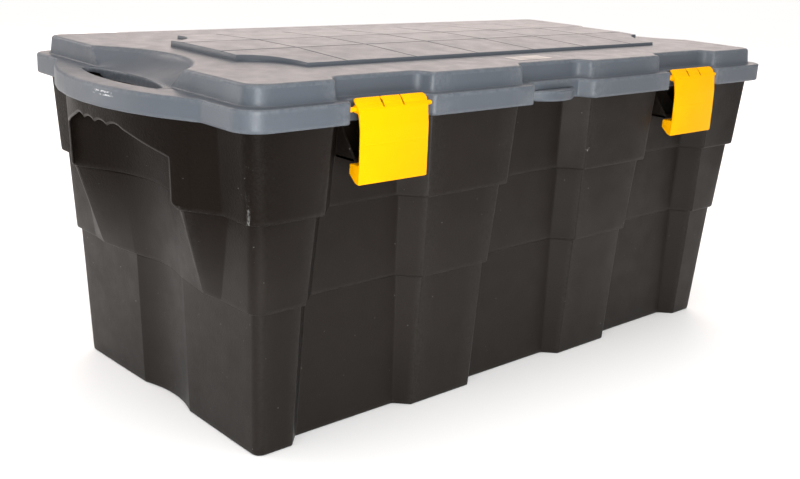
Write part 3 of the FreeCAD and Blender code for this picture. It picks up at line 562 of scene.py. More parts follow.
class TRUNK_OT_lid_shell(Operator):
    """Lid shell: rings from inside the skirt round its lower edge and up to the ledge, others up the
    upper step and over its rounded edge, outside and inside, and a strip of ledge between each scoop and
    its hand slot."""
    bl_idname = "trunk.lid_shell"
    bl_label = "Lid shell"

    def execute(self, context):
        lid = context.scene.trunk.lid
        t = lid.wall
        top = lid.flange_top
        low = lid.skirt_bottom
        r = lid.flange_edge
        flange = flange_outline()
        x = (lid.half_length - lid.ledge) / MM
        slot_edge = [(x, -97, 2), (507.1, -92, 3), (534.0, 0, 287.2)]
        shelf = lid_outline(slot_edge, lid.upper_corner / MM, x, lid.half_width / MM)
        at_slot = (np.abs(shelf[0][:, 1]) < 97.5 * MM) & (np.abs(shelf[0][:, 0]) > 0.4)
        shelf = picked(at_slot, shelf, upper_outline(*scooped(0), 0.0))
        rows, wear = stack([
            (shelf, top - t, 0.0), (inset(flange, t), top - t, 0.0), (inset(flange, t), low + 1 * MM, 0.0),
            (inset(flange, t - 0.8 * MM), low, 0.2), (inset(flange, 1 * MM), low, 0.6),
            (flange, low + 1 * MM, 0.6), (flange, low + 4 * MM, 0.0), (flange, top - r - 3 * MM, 0.0),
            *upper_edge(flange, top, r, 0.8),
            (inset(flange, r + 2.5 * MM), top, 0.0), (shelf, top, 0.0),
        ])
        wear[[0, -1]] = 0
        skin = Skin()
        skin.rows(rows, wear)
        self.upper_step(skin)
        self.slot_ledges(skin)
        skin.piece("lid_shell", "lid", lid_plastic("lid_shell_plastic"), "lid_plastic", "lid")
        return {"FINISHED"}

    def upper_step(self, skin):
        """Adds the upper step: a small fillet at its foot, a leaning wall, a rounded edge and a flat top,
        and the same from inside."""
        lid = bpy.context.scene.trunk.lid
        t = lid.wall
        low = lid.flange_top
        top = lid.upper_top
        lean = lid.upper_draft
        r = lid.upper_edge
        fillet = 2.0 * MM
        bend = 4 * MM

        def step(z, over, wear=0.0):
            """Level of the step's outside at a height, moved in."""
            return upper_outline(*scooped((z - low) / (top - low)), over), z, wear

        wall = np.linspace(low + 3 * MM, top - r - 0.5 * MM, 9)
        rows, wear = stack([
            (step(low, 0.0)[0], low - t, 0.0),
            *[step(low + fillet * v, -fillet * (1 - s)) for s, v in zip(SINE, VERSINE)],
            *[step(z, lean * (z - low) / (top - low - r)) for z in wall],
            *[step(top - r * (1 - s), lean + r * v, 0.7) for s, v in zip(SINE, VERSINE)],
            step(top, lean + r + 3 * MM),
        ])
        wear[-1] = 0
        skin.rows(rows, wear, last_cap=True)
        inside = stack([
            (step(top, lean + t + bend)[0], top - t, 0.0), (step(top, lean + t)[0], top - t, 0.0),
            (step(top - bend, lean + t)[0], top - t - bend, 0.0), (step(low, t)[0], low - t, 0.0),
        ])[0]
        skin.rows(inside, first_cap=True)

    def slot_ledges(self, skin):
        """Adds the strip of ledge between each scoop's foot and the slot: a flat bar carried along Y
        whose inner side follows the scoop's arc and whose outer side follows the slot's inner circle,
        then turns round its tip."""
        lid = bpy.context.scene.trunk.lid
        tip = SLOT_TIP_Y[0]
        side = np.concatenate([np.linspace(0, tip, 43), np.array([86, 87.5, 88.3, 90, 92, 94.5, 97])])
        y = np.concatenate([-side[:0:-1], side])
        away = np.abs(y)
        apex = slot_apex()
        slot = slot_outline()[1][0] / MM
        bowed = apex + slot - np.sqrt(slot ** 2 - np.minimum(away, tip) ** 2) - 1.2
        outer = np.where(away < tip + 0.5, bowed, np.interp(away, SLOT_TIP_Y, SLOT_TIP_X))
        scoop = arc_radius(SCOOP_HALF[0], SCOOP_DEPTH[0])
        foot = apex - 1 + scoop - np.sqrt(scoop ** 2 - np.minimum(away, SCOOP_HALF[0]) ** 2) - 0.5
        high = np.full(len(y), lid.flange_top / MM)
        low = high - lid.wall / MM
        sides = ((foot, high), (outer, high), (outer, low), (foot, low))
        rows = np.stack([np.stack([x, y, z], 1) for x, z in sides], 1) * MM
        skin.rows(rows, first_cap=True, last_cap=True)
        skin.rows(rows[::-1] * FLIP_X, first_cap=True, last_cap=True)


class TRUNK_OT_lid_panel(Operator):
    """Raised panel of the lid: a bed, rings of a rectangle with elliptic scallops at its corners, up a
    leaning side and in to the middle, and on it tiles that draw in over rounded edges. The gaps between
    them are the grooves."""
    bl_idname = "trunk.lid_panel"
    bl_label = "Lid panel"

    def execute(self, context):
        lid = context.scene.trunk.lid
        half = lid.groove_pitch / 2
        columns = [(-half, half), (half, 3 * half), (3 * half, 5 * half), (5 * half, lid.panel_half_length)]
        rows = [(-lid.groove_row, lid.groove_row), (lid.groove_row, lid.panel_half_width)]
        skin = Skin()
        self.bed(skin)
        for i, column in enumerate(columns):
            for j, row in enumerate(rows):
                rings, wear = self.tile(column, row)
                for x in (1, -1)[:1 + (i > 0)]:
                    for y in (1, -1)[:1 + (j > 0)]:
                        order = slice(None, None, x * y)
                        skin.rows(rings[:, order] * np.array([x, y, 1]), wear[:, order], last_cap=True)
        skin.piece("lid_panel", "lid", lid_plastic("lid_panel_plastic"), "lid_plastic")
        return {"FINISHED"}

    def roof(self, y):
        """Height of the panel's top at y: level between the long grooves, then straight to the sides."""
        lid = bpy.context.scene.trunk.lid
        share = np.clip((np.abs(y) - lid.groove_row) / (lid.panel_half_width - lid.groove_row), 0, 1)
        return lid.panel_top + (lid.panel_side - lid.panel_top) * share

    def scallop(self):
        """Points and radii of the right rear corner's scallop: a quarter of an ellipse about the corner."""
        lid = bpy.context.scene.trunk.lid
        a = np.linspace(0, math.pi / 2, 10)
        away = np.stack([np.sin(a), np.cos(a)], 1) * SCALLOP
        radii = np.full(len(a), 400 * MM)
        radii[[0, -1]] = 3 * MM
        return np.array([lid.panel_half_length, lid.panel_half_width]) - away, radii

    def bed(self, skin):
        """Adds the bed: its leaning side, and its top, which is the grooves' floor."""
        lid = bpy.context.scene.trunk.lid
        curve, radii = self.scallop()
        right = np.concatenate([curve[::-1] * np.array([1, -1]), curve])
        outline = (np.concatenate([right, right[::-1] * np.array([-1, 1])]), np.tile(radii, 4))
        floor = lid.groove_depth
        rows = []
        for over, drop in ((0.0, 20 * MM), (lid.panel_lean, floor), (lid.panel_lean + 3 * MM, floor)):
            loop = rounded_loop(*inset(outline, over), 4, 6)[0]
            z = np.maximum(self.roof(loop[:, 1]) - drop, lid.upper_top - 1 * MM)
            rows.append(np.concatenate([loop, z[:, None]], 1))
        skin.rows(np.concatenate([rows, self.inner_rows(rows[-1][:, :2])]), last_cap=True)

    def inner_rows(self, row):
        """Rings from the bed's edge to a thin strip along the middle: each point goes straight to the
        nearest point of the strip's line, with a stop where its way crosses a long groove."""
        lid = bpy.context.scene.trunk.lid
        strip_half = 0.3
        target = np.stack([np.clip(row[:, 0], -strip_half, strip_half), row[:, 1] * 0.02], 1)
        side = np.abs(row[:, 1])
        stop = np.where(side > lid.groove_row, (side - lid.groove_row) / (side - np.abs(target[:, 1])), 0.4)
        first = np.linspace(0, 1, 6)[1:, None] * stop
        then = stop + np.linspace(0, 1, 4)[1:, None] * (1 - stop)
        share = np.concatenate([first, then])[..., None]
        place = row[None] * (1 - share) + target[None] * share
        return np.concatenate([place, self.roof(place[..., 1])[..., None] - lid.groove_depth], -1)

    def tile(self, column, row):
        """Rings, and edge shares for worn edges and painted light, of a tile between two bounds along X and
        two
        along Y: a rectangle, cut by the scallop at the panel's corner.
        edge and by a smaller one along a groove, and each corner goes to where its moved sides meet."""
        lid = bpy.context.scene.trunk.lid
        p = np.array([(column[0], row[0]), (column[1], row[0]), (column[1], row[1]), (column[0], row[1])])
        radii = np.full(4, 1 * MM)
        outer = np.array([False, column[1] == lid.panel_half_length, row[1] == lid.panel_half_width, False])
        if outer.sum() == 2:
            curve, bend = self.scallop()
            p = np.concatenate([p[:2], curve, p[3:]])
            radii = np.concatenate([radii[:2], bend, radii[3:]])
            outer = np.pad(np.ones(len(curve) + 1, bool), 1)
        after = left_of(unit(np.roll(p, -1, 0) - p))
        before = np.roll(after, 1, 0)
        rings = []
        wear = []
        drops = [lid.groove_depth + 0.1 * MM, *(lid.panel_edge * (1 - SINE)), 0]
        overs = lid.panel_lean + np.array([0, *(lid.panel_edge * VERSINE), lid.panel_edge])
        for drop, over, more in zip(drops, overs, [0, 0, 0, 0, 0, 0, 3 * MM]):
            gap = lid.groove_width / 2 + GROOVE_EASE + more
            gap = gap - math.sqrt(GROOVE_EASE ** 2 - max(GROOVE_EASE - drop, 0) ** 2)
            move = np.where(outer, over + more, gap)[:, None]
            shift = left_of(move * before - np.roll(move, 1, 0) * after) / cross(before, after)[:, None]
            loop = rounded_loop(p + shift, radii, 4, 6)[0]
            rings.append(np.concatenate([loop, self.roof(loop[:, 1])[:, None] - drop], 1))
            away = np.array([lid.panel_half_length, lid.panel_half_width]) - loop
            rim = (away.min(1) < 3 * MM) | (np.linalg.norm(away / SCALLOP, axis=1) < 1.06)
            wear.append(0.6 * rim * (more == 0))
        return np.array(rings), np.array(wear)


class TRUNK_OT_slot_collars(Operator):
    """Collar of each hand slot: a rounded profile carried round the slot, deeper along its middle."""
    bl_idname = "trunk.slot_collars"
    bl_label = "Slot collars"

    def execute(self, context):
        slot = slot_outline()
        top = context.scene.trunk.lid.flange_top + 0.05 * MM
        rows = []
        for out, z in reversed(COLLAR):
            loop = rounded_loop(*inset(slot, -out * MM), 20, 3)[0]
            deep = np.clip((74 * MM - np.abs(loop[:, 1])) / (8 * MM), 0, 1)
            deep = deep * deep * (3 - 2 * deep)
            drop = np.where(z > 3, z * (0.46 + 0.54 * deep), z) * MM
            rows.append(np.concatenate([loop, (top - drop)[:, None]], 1))
        rows = np.array(rows)
        skin = Skin()
        # The whole collar gets the full edge share, so the lid's material paints it paler: painted light on
        # a wall that lies in shade.
        skin.rows(rows, 1.0)
        skin.rows(rows[:, ::-1] * FLIP_X, 1.0)
        skin.piece("slot_collars", "lid", lid_plastic("slot_collar_plastic"), "lid_plastic")
        return {"FINISHED"}


class TRUNK_OT_finger_lip(Operator):
    """Finger lip in the centre recess: rings of a D, up to a rounded top edge."""
    bl_idname = "trunk.finger_lip"
    bl_label = "Finger lip"

    def execute(self, context):
        lid = context.scene.trunk.lid
        face = (-lid.half_width + lid.centre_recess_depth) / MM
        half = 41.0
        reach = 16.0
        tip = face - half * math.tan(2 * math.atan2(reach, half))
        outline = drawn([
            (-half, face + 1.5, 1), (-half, face, 3), (0, tip, arc_radius(half, reach)), (half, face, 3),
            (half, face + 1.5, 1),
        ])
        r = 3.6 * MM
        top = 409 * MM
        bottom = lid.skirt_bottom
        within = inset(outline, 3 * MM)
        rows, wear = stack([
            (within, top - 3 * MM, 0.0), (within, bottom + 0.5 * MM, 0.0),
            (inset(outline, 1 * MM), bottom, 0.3), (outline, bottom + 1 * MM, 0.6),
            (outline, bottom + 4 * MM, 0.0), (outline, top - r - 1 * MM, 0.0),
            *upper_edge(outline, top, r, 0.7),
        ], (14, SIDE_STEPS))
        skin = Skin()
        skin.rows(rows, wear, first_cap=True, last_cap=True)
        skin.piece("finger_lip", "lid", lid_plastic("finger_lip_plastic"), "lid_plastic")
        return {"FINISHED"}


def hinge_place():
    """Y and Z of the hinge axis in millimetres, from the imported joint."""
    joint = next(j for j in frame["joints"] if j["name"] == "lid_hinge")
    return joint["pos_m"][1] / MM, joint["pos_m"][2] / MM


class TRUNK_OT_knuckles(Operator):
    """Hinge knuckles of the lid: a round bar and an arm down from the skirt, both carried along X."""
    bl_idname = "trunk.knuckles"
    bl_label = "Hinge knuckles"

    def execute(self, context):
        lid = context.scene.trunk.lid
        y, z = hinge_place()
        wall = lid.half_width / MM
        low = lid.skirt_bottom / MM
        radius = 7
        arm = yz_outline([
            (y - radius, z, 3), (wall - 1.5, low, 1), (wall - 1.5, low + 15, 0.5), (wall, low + 15, 1),
            (y + radius, z + radius, 4), (y + radius, z, 3),
        ])
        skin = Skin()
        for x in (-HINGE_X, HINGE_X):
            span = ((x - 20) * MM, (x + 20) * MM, 0.8 * MM)
            swept(skin, arm, *span)
            round_bar(skin, y, z, radius * MM, *span)
        skin.piece("hinge_knuckles", "lid", lid_plastic("knuckle_plastic"), "lid_plastic")
        return {"FINISHED"}


class TRUNK_OT_tub_rim(Operator):
    """Rim of the tub: a flat ring under the lid's flange, from inside the skirt to the tub's wall, open
    over the hand holes."""
    bl_idname = "trunk.tub_rim"
    bl_label = "Tub rim"

    def execute(self, context):
        trunk = context.scene.trunk
        outer = inset(flange_outline(), trunk.lid.wall + 1.5 * MM)
        x = (trunk.lid.half_length - trunk.tub.end_overhang) / MM
        y = (trunk.lid.half_width - trunk.tub.side_overhang) / MM
        hole_edge = [(x, -101, 5), (510.1, -97, 6), (538.4, 0, 291.5)]
        inner = lid_outline(hole_edge, 21, x, y)
        p = inner[0]
        at_front = (p[:, 1] < -0.1) & (np.abs(p[:, 0]) < 0.42)
        at_rear = (p[:, 1] > 0.1) & (np.abs(p[:, 0]) < 0.45)
        p[at_front, 1] = -208 * MM
        p[at_rear, 1] = 208.5 * MM
        top = trunk.tub.rim_top
        low = trunk.tub.rim
        ease = 0.8 * MM
        skin = Skin()
        skin.rows(*stack([
            (inner, low, 0.0), (outer, low, 0.0), (outer, top - ease, 0.0), (inset(outer, ease), top, 0.0),
            (inner, top, 0.0), (inner, low, 0.0),
        ]))
        skin.piece("tub_rim", "tub", tub_plastic(), "tub_plastic")
        return {"FINISHED"}


class TRUNK_OT_aprons(Operator):
    """Aprons of the end handles: a wall that follows the bulge's arc, from the rim and the legs to a
    lower edge with finger waves at its middle, slopes to the legs and a lip down each leg. The edge is a
    half round carried along that line."""
    bl_idname = "trunk.aprons"
    bl_label = "Handle aprons"

    def edge_line(self):
        """Half of the lower edge as points in the YZ plane, from the foot of a leg to the middle, with
        for each the place on the leg or rim from which the wall comes down to it: a quarter round at the
        foot, a straight lip, a slope, and waves whose height follows a square."""
        tub = bpy.context.scene.trunk.tub
        edge = tub.apron_edge / MM
        leg = tub.apron_leg / MM
        rim = tub.rim / MM + 1
        step = tub.high_step / MM
        bend = 8.5
        lip = LEG_Y - bend
        root = LEG_Y + 15
        wavy = 55
        wave = 27.5
        a = np.linspace(0, math.pi / 2, 8)
        foot = np.stack([-LEG_Y + bend * np.sin(a), step + 11 - bend * np.cos(a)], 1)
        up = np.stack([np.full(14, -lip), np.linspace(step + 13, leg, 14)], 1)
        slope = np.stack([np.linspace(-lip, -wavy, 23)[1:], np.linspace(leg, edge, 23)[1:]], 1)
        y = np.linspace(-wavy, 0, 57)[1:]
        bay = 2 * np.abs((y / wave) % 1 - 0.5)
        waves = np.stack([y, edge + 4 * (1 - bay ** 2)], 1)
        line = np.concatenate([foot, up, slope, waves])
        leg_side = np.stack([np.full(22, -root), np.linspace(step + 2.5, leg + 3, 22)], 1)
        around = np.stack([np.interp(np.arange(1, 23), [0, 8, 22], [-root, -root, -wavy]),
                           np.interp(np.arange(1, 23), [0, 8, 22], [leg + 3, rim, rim])], 1)
        over = np.stack([y, np.full(len(y), rim)], 1)
        return line, np.concatenate([leg_side, around, over])

    def execute(self, context):
        tub = context.scene.trunk.tub
        flip = np.array([-1, 1])
        line, start = (np.concatenate([half, half[-2::-1] * flip]) for half in self.edge_line())
        inwards = left_of(unit(np.gradient(line, axis=0)))
        r = tub.apron_wall / MM / 2
        ease = 3.6
        a = np.linspace(0, math.pi, 13)
        share = np.concatenate([np.linspace(0, 0.97, 9), np.ones(13), np.linspace(0.97, 0, 5)])
        back = np.concatenate([np.full(9, ease), ease * (1 - np.sin(a)), np.full(5, ease)])
        depth = np.concatenate([np.zeros(9), r * (1 - np.cos(a)), np.full(5, 2 * r)])[:, None]
        share = share[:, None, None]
        place = start[None] * (1 - share) + (line[None] + inwards[None] * back[:, None, None]) * share
        down = (tub.rim / MM - place[..., 1]) / ((tub.rim - tub.high_step) / MM)
        aside = np.abs(place[..., 0])
        # The wall leans in on its way down, and past the legs' edges its flanks fall away straight.
        inside = 10.8 + 5.5 * down
        flank = 0.543 + 0.061 * down
        x = bulge_reach(np.minimum(aside, LEG_Y), inside + depth) - flank * np.maximum(aside - LEG_Y, 0)
        grid = np.concatenate([x[..., None], place], -1) * MM
        # The half round along the lower edge gets the full edge share: its paler colour is a painted
        # highlight, and it keeps the plastic's gloss.
        wear = np.broadcast_to(np.where((depth > 0) & (depth < 2 * r), 1.0, 0.0), x.shape)
        skin = Skin()
        skin.rows(grid[::-1], wear[::-1], closed=False)
        skin.rows(grid * FLIP_X, wear, closed=False)
        skin.piece("handle_aprons", "tub", tub_plastic(), "tub_plastic")
        return {"FINISHED"}


class TRUNK_OT_keepers_and_ears(Operator):
    """Latch keepers and hinge ears of the tub: ledge, ribs and gussets, each an outline in the YZ plane
    carried along X."""
    bl_idname = "trunk.keepers_and_ears"
    bl_label = "Keepers and ears"

    def execute(self, context):
        trunk = context.scene.trunk
        at = trunk.lid.latch_at / MM
        wall = (-trunk.lid.half_width + trunk.tub.side_overhang) / MM
        front = wall - 3.5
        bay = wall + BAY_DEPTH
        low = 349.7
        high = low + trunk.latch.keeper_height / MM
        half = trunk.latch.keeper_half / MM
        thick = 3.4
        ledge = yz_outline([
            (bay + 3, low, 0.5), (front, low, 0.8),
            (front + thick, low + thick, 1), (bay + 3, low + thick, 0.5),
        ])
        rib = yz_outline([(bay + 3, low, 0.5), (front, low, 0.8), (bay, high, 1), (bay + 2, high, 0.5)])
        skin = Skin()
        for x in (-at, at):
            swept(skin, ledge, (x - half) * MM, (x + half) * MM, 0.5 * MM)
            for start in np.linspace(x - half, x + half - 3, 4):
                swept(skin, rib, start * MM, (start + 3) * MM, 0.5 * MM)
        skin.piece("latch_keepers", "tub", tub_plastic(), "tub_plastic")
        y, z = hinge_place()
        radius = 7
        gusset = yz_outline([
            (-bay - 4, z + radius, 0.5), (y, z + radius, radius), (y + radius, z + radius, radius),
            (y + radius, z - radius, radius), (y - 2, z - radius, 8), (-bay - 6, z - 40, 0.5),
        ])
        skin = Skin()
        for x in (-HINGE_X, HINGE_X):
            for start in (x - 32.6, x + 20.6):
                swept(skin, gusset, start * MM, (start + 12) * MM, 0.8 * MM)
        skin.piece("hinge_ears", "tub", tub_plastic(), "tub_plastic")
        return {"FINISHED"}


class TRUNK_OT_latches(Operator):
    """Latches: a bowed sheet with a hook and a barrel, an outline in the YZ plane carried along X with
    rounded ends, three fingers along its top parted by slits, and a trunnion at each side."""
    bl_idname = "trunk.latches"
    bl_label = "Latches"

    def execute(self, context):
        trunk = context.scene.trunk
        latch = trunk.latch
        front = -trunk.lid.half_width / MM
        top = trunk.lid.flange_top / MM + 2
        foot = top - latch.drop / MM
        pivot_y = front + latch.pivot_in / MM
        pivot_z = (trunk.lid.flange_top - latch.pivot_below) / MM
        sheet = latch.sheet / MM
        out = front - latch.bow / MM
        hook = 348.5
        fold = 371.0
        half = latch.half_width
        split = top - 6
        barrel = 4.6
        body = yz_outline([
            (front + 4.3, split, 0.4), (front, pivot_z, 9), (out + 0.3, pivot_z - 22, 60),
            (out - 0.12, fold + 1.2, 0.4), (out + 0.04, fold, 0.5), (out - 0.16, fold - 1.2, 0.4),
            (out - 0.5, hook + 8, 120), (out, foot, 1.2), (out + sheet, foot, 1.0),
            (front + sheet, hook - 20.5, 3), (front + 14, hook - 11, 3), (front + 14, hook, 1.6),
            (out + sheet - 0.4, hook, 2), (out + sheet + 0.2, pivot_z - 24, 60),
            (front + sheet - 0.5, pivot_z - barrel - 3, 8), (front + sheet + 1, pivot_z - barrel, 1),
            (pivot_y + barrel, pivot_z - barrel, barrel), (pivot_y + barrel, pivot_z + barrel, barrel),
            (front + sheet + 4, pivot_z + barrel, 0.5), (front + sheet + 4.3, split, 0.4),
        ])
        finger = yz_outline([
            (front + 2.7, split - 2, 0.3), (front + 5, split + 1.4, 6), (front + 9.2, top + 0.3, 1.2),
            (front + 9.2 + sheet, top - 0.1, 1.2), (front + 5 + sheet, split + 0.8, 4),
            (front + 2.7 + sheet, split - 2, 0.3),
        ])
        for name, x in (("left_latch", -trunk.lid.latch_at), ("right_latch", trunk.lid.latch_at)):
            skin = Skin()
            swept(skin, body, x - half, x + half, 1.1 * MM, arc=7)
            inner = SLIT_AT - SLIT_HALF
            outer = SLIT_AT + SLIT_HALF
            for low, high in ((-half, -outer), (-inner, inner), (outer, half)):
                swept(skin, finger, x + low, x + high, 0.7 * MM)
            for points in skin.points:
                points[:, 0] = x + (points[:, 0] - x) * self.spread(points[:, 2] / MM, foot, top)
            reach = half + latch.trunnion_length
            round_bar(skin, pivot_y, pivot_z, latch.trunnion_radius, x - reach, x + reach, 0.5 * MM)
            skin.piece(name + "_body", name, latch_plastic(x), "latch_plastic", name)
        return {"FINISHED"}

    def spread(self, z, foot, top):
        """How much wider a latch is at a height in millimetres: it flares by squares of the height
        towards its top and its foot, and circles draw in its four corners."""
        half = bpy.context.scene.trunk.latch.half_width / MM
        corner = 5
        flare = 0.058 * np.clip((z - 398) / 24, 0, 1) ** 2 + 0.034 * np.clip((350 - z) / 23.5, 0, 1) ** 2
        edge = np.clip(np.maximum(z - top + corner, foot + 4 - z) / corner, 0, 1)
        return (1 + flare) * (1 - corner / half * (1 - np.sqrt(1 - edge ** 2)))


class TRUNK_OT_label(Operator):
    """Blank label: a thin rounded rectangle that lies flat on the lid's top, behind the centre recess."""
    bl_idname = "trunk.label"
    bl_label = "Blank label"

    def execute(self, context):
        top = context.scene.trunk.lid.upper_top
        low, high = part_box("blank_label")
        corners = np.array([(low[0], low[1]), (high[0], low[1]), (high[0], high[1]), (low[0], high[1])])
        outline = (corners, np.full(4, 2.5 * MM))
        rows = stack([
            (outline, top - 0.05 * MM, 0.0), (outline, top + 0.22 * MM, 0.0),
            (inset(outline, 0.25 * MM), top + 0.3 * MM, 0.0), (inset(outline, 3 * MM), top + 0.3 * MM, 0.0),
        ])[0]
        skin = Skin()
        skin.rows(rows, first_cap=True, last_cap=True)
        skin.piece("label_film", "lid", label_film(), "label_film", "blank_label")
        return {"FINISHED"}


class TRUNK_OT_hinge_pins(Operator):
    """Hinge pins: the CAD rods, given a drawn steel finish."""
    bl_idname = "trunk.hinge_pins"
    bl_label = "Hinge pins"

    def execute(self, context):
        steel = pin_steel()
        for name in ("left_hinge_pin", "right_hinge_pin"):
            pin = frame["nodes"][name]
            pin.data.materials.clear()
            pin.data.materials.append(steel)
        return {"FINISHED"}


class Shader:
    """A material's node tree with short calls to add and join nodes."""

    def __init__(self, name):
        self.material = bpy.data.materials.new(name)
        self.material.use_nodes = True
        self.nodes = self.material.node_tree.nodes
        self.links = self.material.node_tree.links
        self.surface = self.nodes["Principled BSDF"]
        self.place = self.nodes.new("ShaderNodeTexCoord").outputs["Object"]

    def put(self, value, socket):
        """Joins an output to a socket, or sets the socket to a constant. A colour is made opaque."""
        if isinstance(value, NodeSocket):
            self.links.new(value, socket)
        else:
            socket.default_value = (*value, 1.0) if socket.type == "RGBA" else value

    def noise(self, scale, detail, rough, stretch=None):
        """Noise over the object's own coordinates, by its scale per metre, detail and roughness."""
        node = self.nodes.new("ShaderNodeTexNoise")
        node.inputs["Scale"].default_value = scale
        node.inputs["Detail"].default_value = detail
        node.inputs["Roughness"].default_value = rough
        place = self.place
        if stretch:
            mapping = self.nodes.new("ShaderNodeMapping")
            mapping.inputs["Scale"].default_value = stretch
            self.links.new(place, mapping.inputs["Vector"])
            place = mapping.outputs["Vector"]
        self.links.new(place, node.inputs["Vector"])
        return node.outputs["Fac"]

    def span(self, value, low, high, to_low=0.0, to_high=1.0):
        """Value mapped from one span to another, held at its ends."""
        node = self.nodes.new("ShaderNodeMapRange")
        node.inputs["From Min"].default_value = low
        node.inputs["From Max"].default_value = high
        node.inputs["To Min"].default_value = to_low
        node.inputs["To Max"].default_value = to_high
        self.links.new(value, node.inputs["Value"])
        return node.outputs["Result"]

    def sum(self, kind, a, b=0.0):
        """Arithmetic of two values."""
        node = self.nodes.new("ShaderNodeMath")
        node.operation = kind
        self.put(a, node.inputs[0])
        self.put(b, node.inputs[1])
        return node.outputs[0]

    def times(self, product, *values):
        """Product of values."""
        for value in values:
            product = self.sum("MULTIPLY", product, value)
        return product

    def mix(self, share, a, b):
        """Colour between two colours."""
        node = self.nodes.new("ShaderNodeMix")
        node.data_type = "RGBA"
        for value, name in ((share, "Factor"), (a, "A"), (b, "B")):
            self.put(value, node.inputs[name])
        return node.outputs["Result"]

    def clouded(self, base, cloud, low, high, darker, lighter):
        """Base colour, between a darker and a lighter tone of it as a cloud goes from low to high."""
        base = np.array(base)
        return self.mix(self.span(cloud, low, high), base * darker, np.minimum(base * lighter, 1))

    def tinted(self, base, tint, share, *masks):
        """Colour with a share of a tint where all masks are one."""
        return self.mix(self.times(*masks, share), base, tint)

    def axis(self, name):
        """One coordinate of the place on the object."""
        node = self.nodes.new("ShaderNodeSeparateXYZ")
        self.links.new(self.place, node.inputs[0])
        return node.outputs[name]

    def apart(self, value, middle):
        """How far a value lies from a middle one."""
        return self.sum("ABSOLUTE", self.sum("SUBTRACT", value, middle))

    def near(self, name, middle, half):
        """One near a place along an axis, falling to nought at half a width from it."""
        return self.span(self.apart(self.axis(name), middle), half * 0.6, half, 1.0, 0.0)

    def wear(self):
        """Edge share of the piece, from its mesh: worn edges, painted highlights along the tub's edges and
        painted light on the slot collars.
        """
        node = self.nodes.new("ShaderNodeAttribute")
        node.attribute_name = "wear"
        return node.outputs["Fac"]

    def bump(self, height, strength, distance, normal=None):
        """Bump from a height."""
        node = self.nodes.new("ShaderNodeBump")
        node.inputs["Strength"].default_value = strength
        node.inputs["Distance"].default_value = distance
        self.links.new(height, node.inputs["Height"])
        if normal:
            self.links.new(normal, node.inputs["Normal"])
        return node.outputs["Normal"]

    def finish(self, colour, roughness, normal, **others):
        """Joins a colour, a roughness, a normal and other values to the surface's sockets."""
        values = {"Base Color": colour, "Roughness": roughness, "Normal": normal, **others}
        for name, value in values.items():
            self.put(value, self.surface.inputs[name])
        return self.material


def tub_plastic():
    """Near-black moulded plastic: fine grain, a coarser and duller one on the upper ends, faint cloudy
    flow marks, paler edges that are partly worn and partly painted highlight, a line of chips on the near
    corner and a few pale specks."""
    name = "tub_moulding"
    if name in bpy.data.materials:
        return bpy.data.materials[name]
    s = Shader(name)
    wear = s.wear()
    dark = s.clouded(bpy.context.scene.trunk.colours.tub, s.noise(7.0, 3.0, 0.6), 0.35, 0.65, 0.82, 1.2)
    # Paler tone along the edges: partly worn plastic, partly a painted highlight where the edges would
    # catch light.
    dark = s.tinted(dark, (0.06, 0.057, 0.054), 0.20, wear, s.span(s.noise(240.0, 4.0, 0.7), 0.35, 0.75))
    dark = s.tinted(dark, (0.42, 0.41, 0.40), 0.8, wear, s.span(s.noise(46.0, 5.0, 0.75), 0.70, 0.74))
    # The chips' line leans with the corner's draft.
    line = s.apart(s.sum("ADD", s.axis("X"), s.times(s.axis("Z"), 0.0875)), -0.4481)
    corner = s.times(s.span(line, 0.0004, 0.0013, 1.0, 0.0), s.span(s.axis("Y"), -0.20, -0.21))
    corner = s.times(corner, s.near("Z", 0.315, 0.036))
    chips = s.span(s.noise(110.0, 5.0, 0.75, (1.0, 1.0, 0.5)), 0.50, 0.57)
    dark = s.tinted(dark, (0.36, 0.36, 0.35), 0.8, corner, wear, chips)
    dark = s.tinted(dark, (0.22, 0.21, 0.20), 0.6, s.span(s.noise(260.0, 1.0, 0.5), 0.80, 0.83))
    high = s.span(s.axis("Z"), 0.20, 0.296)
    end = s.span(s.sum("ABSOLUTE", s.axis("X")), 0.40, 0.47, 0.05, 0.155)
    matt = s.times(high, end, s.span(wear, 0.92, 1.0, 1.0, 0.0))
    coarse = s.times(s.noise(330.0, 3.0, 0.6), s.span(matt, 0.05, 0.15))
    normal = s.bump(s.noise(1500.0, 2.0, 0.6), 0.22, 0.0002)
    normal = s.bump(s.noise(420.0, 2.0, 0.5), 0.30, 0.0005, normal)
    normal = s.bump(coarse, 0.6, 0.0012, normal)
    rough = s.span(s.noise(30.0, 3.0, 0.6), 0.3, 0.7, 0.40, 0.50)
    gloss = {"Specular IOR Level": s.sum("SUBTRACT", 0.21, matt), "Specular Tint": (1.0, 0.93, 0.88)}
    return s.finish(dark, rough, normal, **gloss)


def lid_plastic(name):
    """Grey moulded plastic: fine orange peel, faint flow marks, slightly paler worn edges, paler slot
    collars as painted light, and pale nicks on the left end of the flange."""
    s = Shader(name)
    grey = s.clouded(bpy.context.scene.trunk.colours.lid, s.noise(9.0, 3.0, 0.6), 0.35, 0.65, 0.94, 1.06)
    # Paler grey by the edge share: worn edges, and painted light over the slot collars, which get the full
    # share.
    grey = s.tinted(grey, (0.26, 0.27, 0.28), 0.30, s.wear(), s.span(s.noise(160.0, 4.0, 0.7), 0.35, 0.75))
    place = s.times(s.near("Y", -0.045, 0.020), s.near("Z", 0.4118, 0.0030))
    place = s.times(place, s.span(s.axis("X"), -0.515, -0.52))
    nicks = s.span(s.noise(210.0, 4.0, 0.7, (0.6, 0.5, 1.8)), 0.52, 0.57)
    grey = s.tinted(grey, (0.72, 0.72, 0.72), 0.9, place, nicks)
    normal = s.bump(s.noise(1300.0, 2.0, 0.6), 0.18, 0.0002)
    normal = s.bump(s.noise(480.0, 2.0, 0.5), 0.34, 0.0005, normal)
    rough = s.span(s.noise(36.0, 3.0, 0.6), 0.3, 0.7, 0.40, 0.50)
    return s.finish(grey, rough, normal, **{"Specular IOR Level": 0.38})


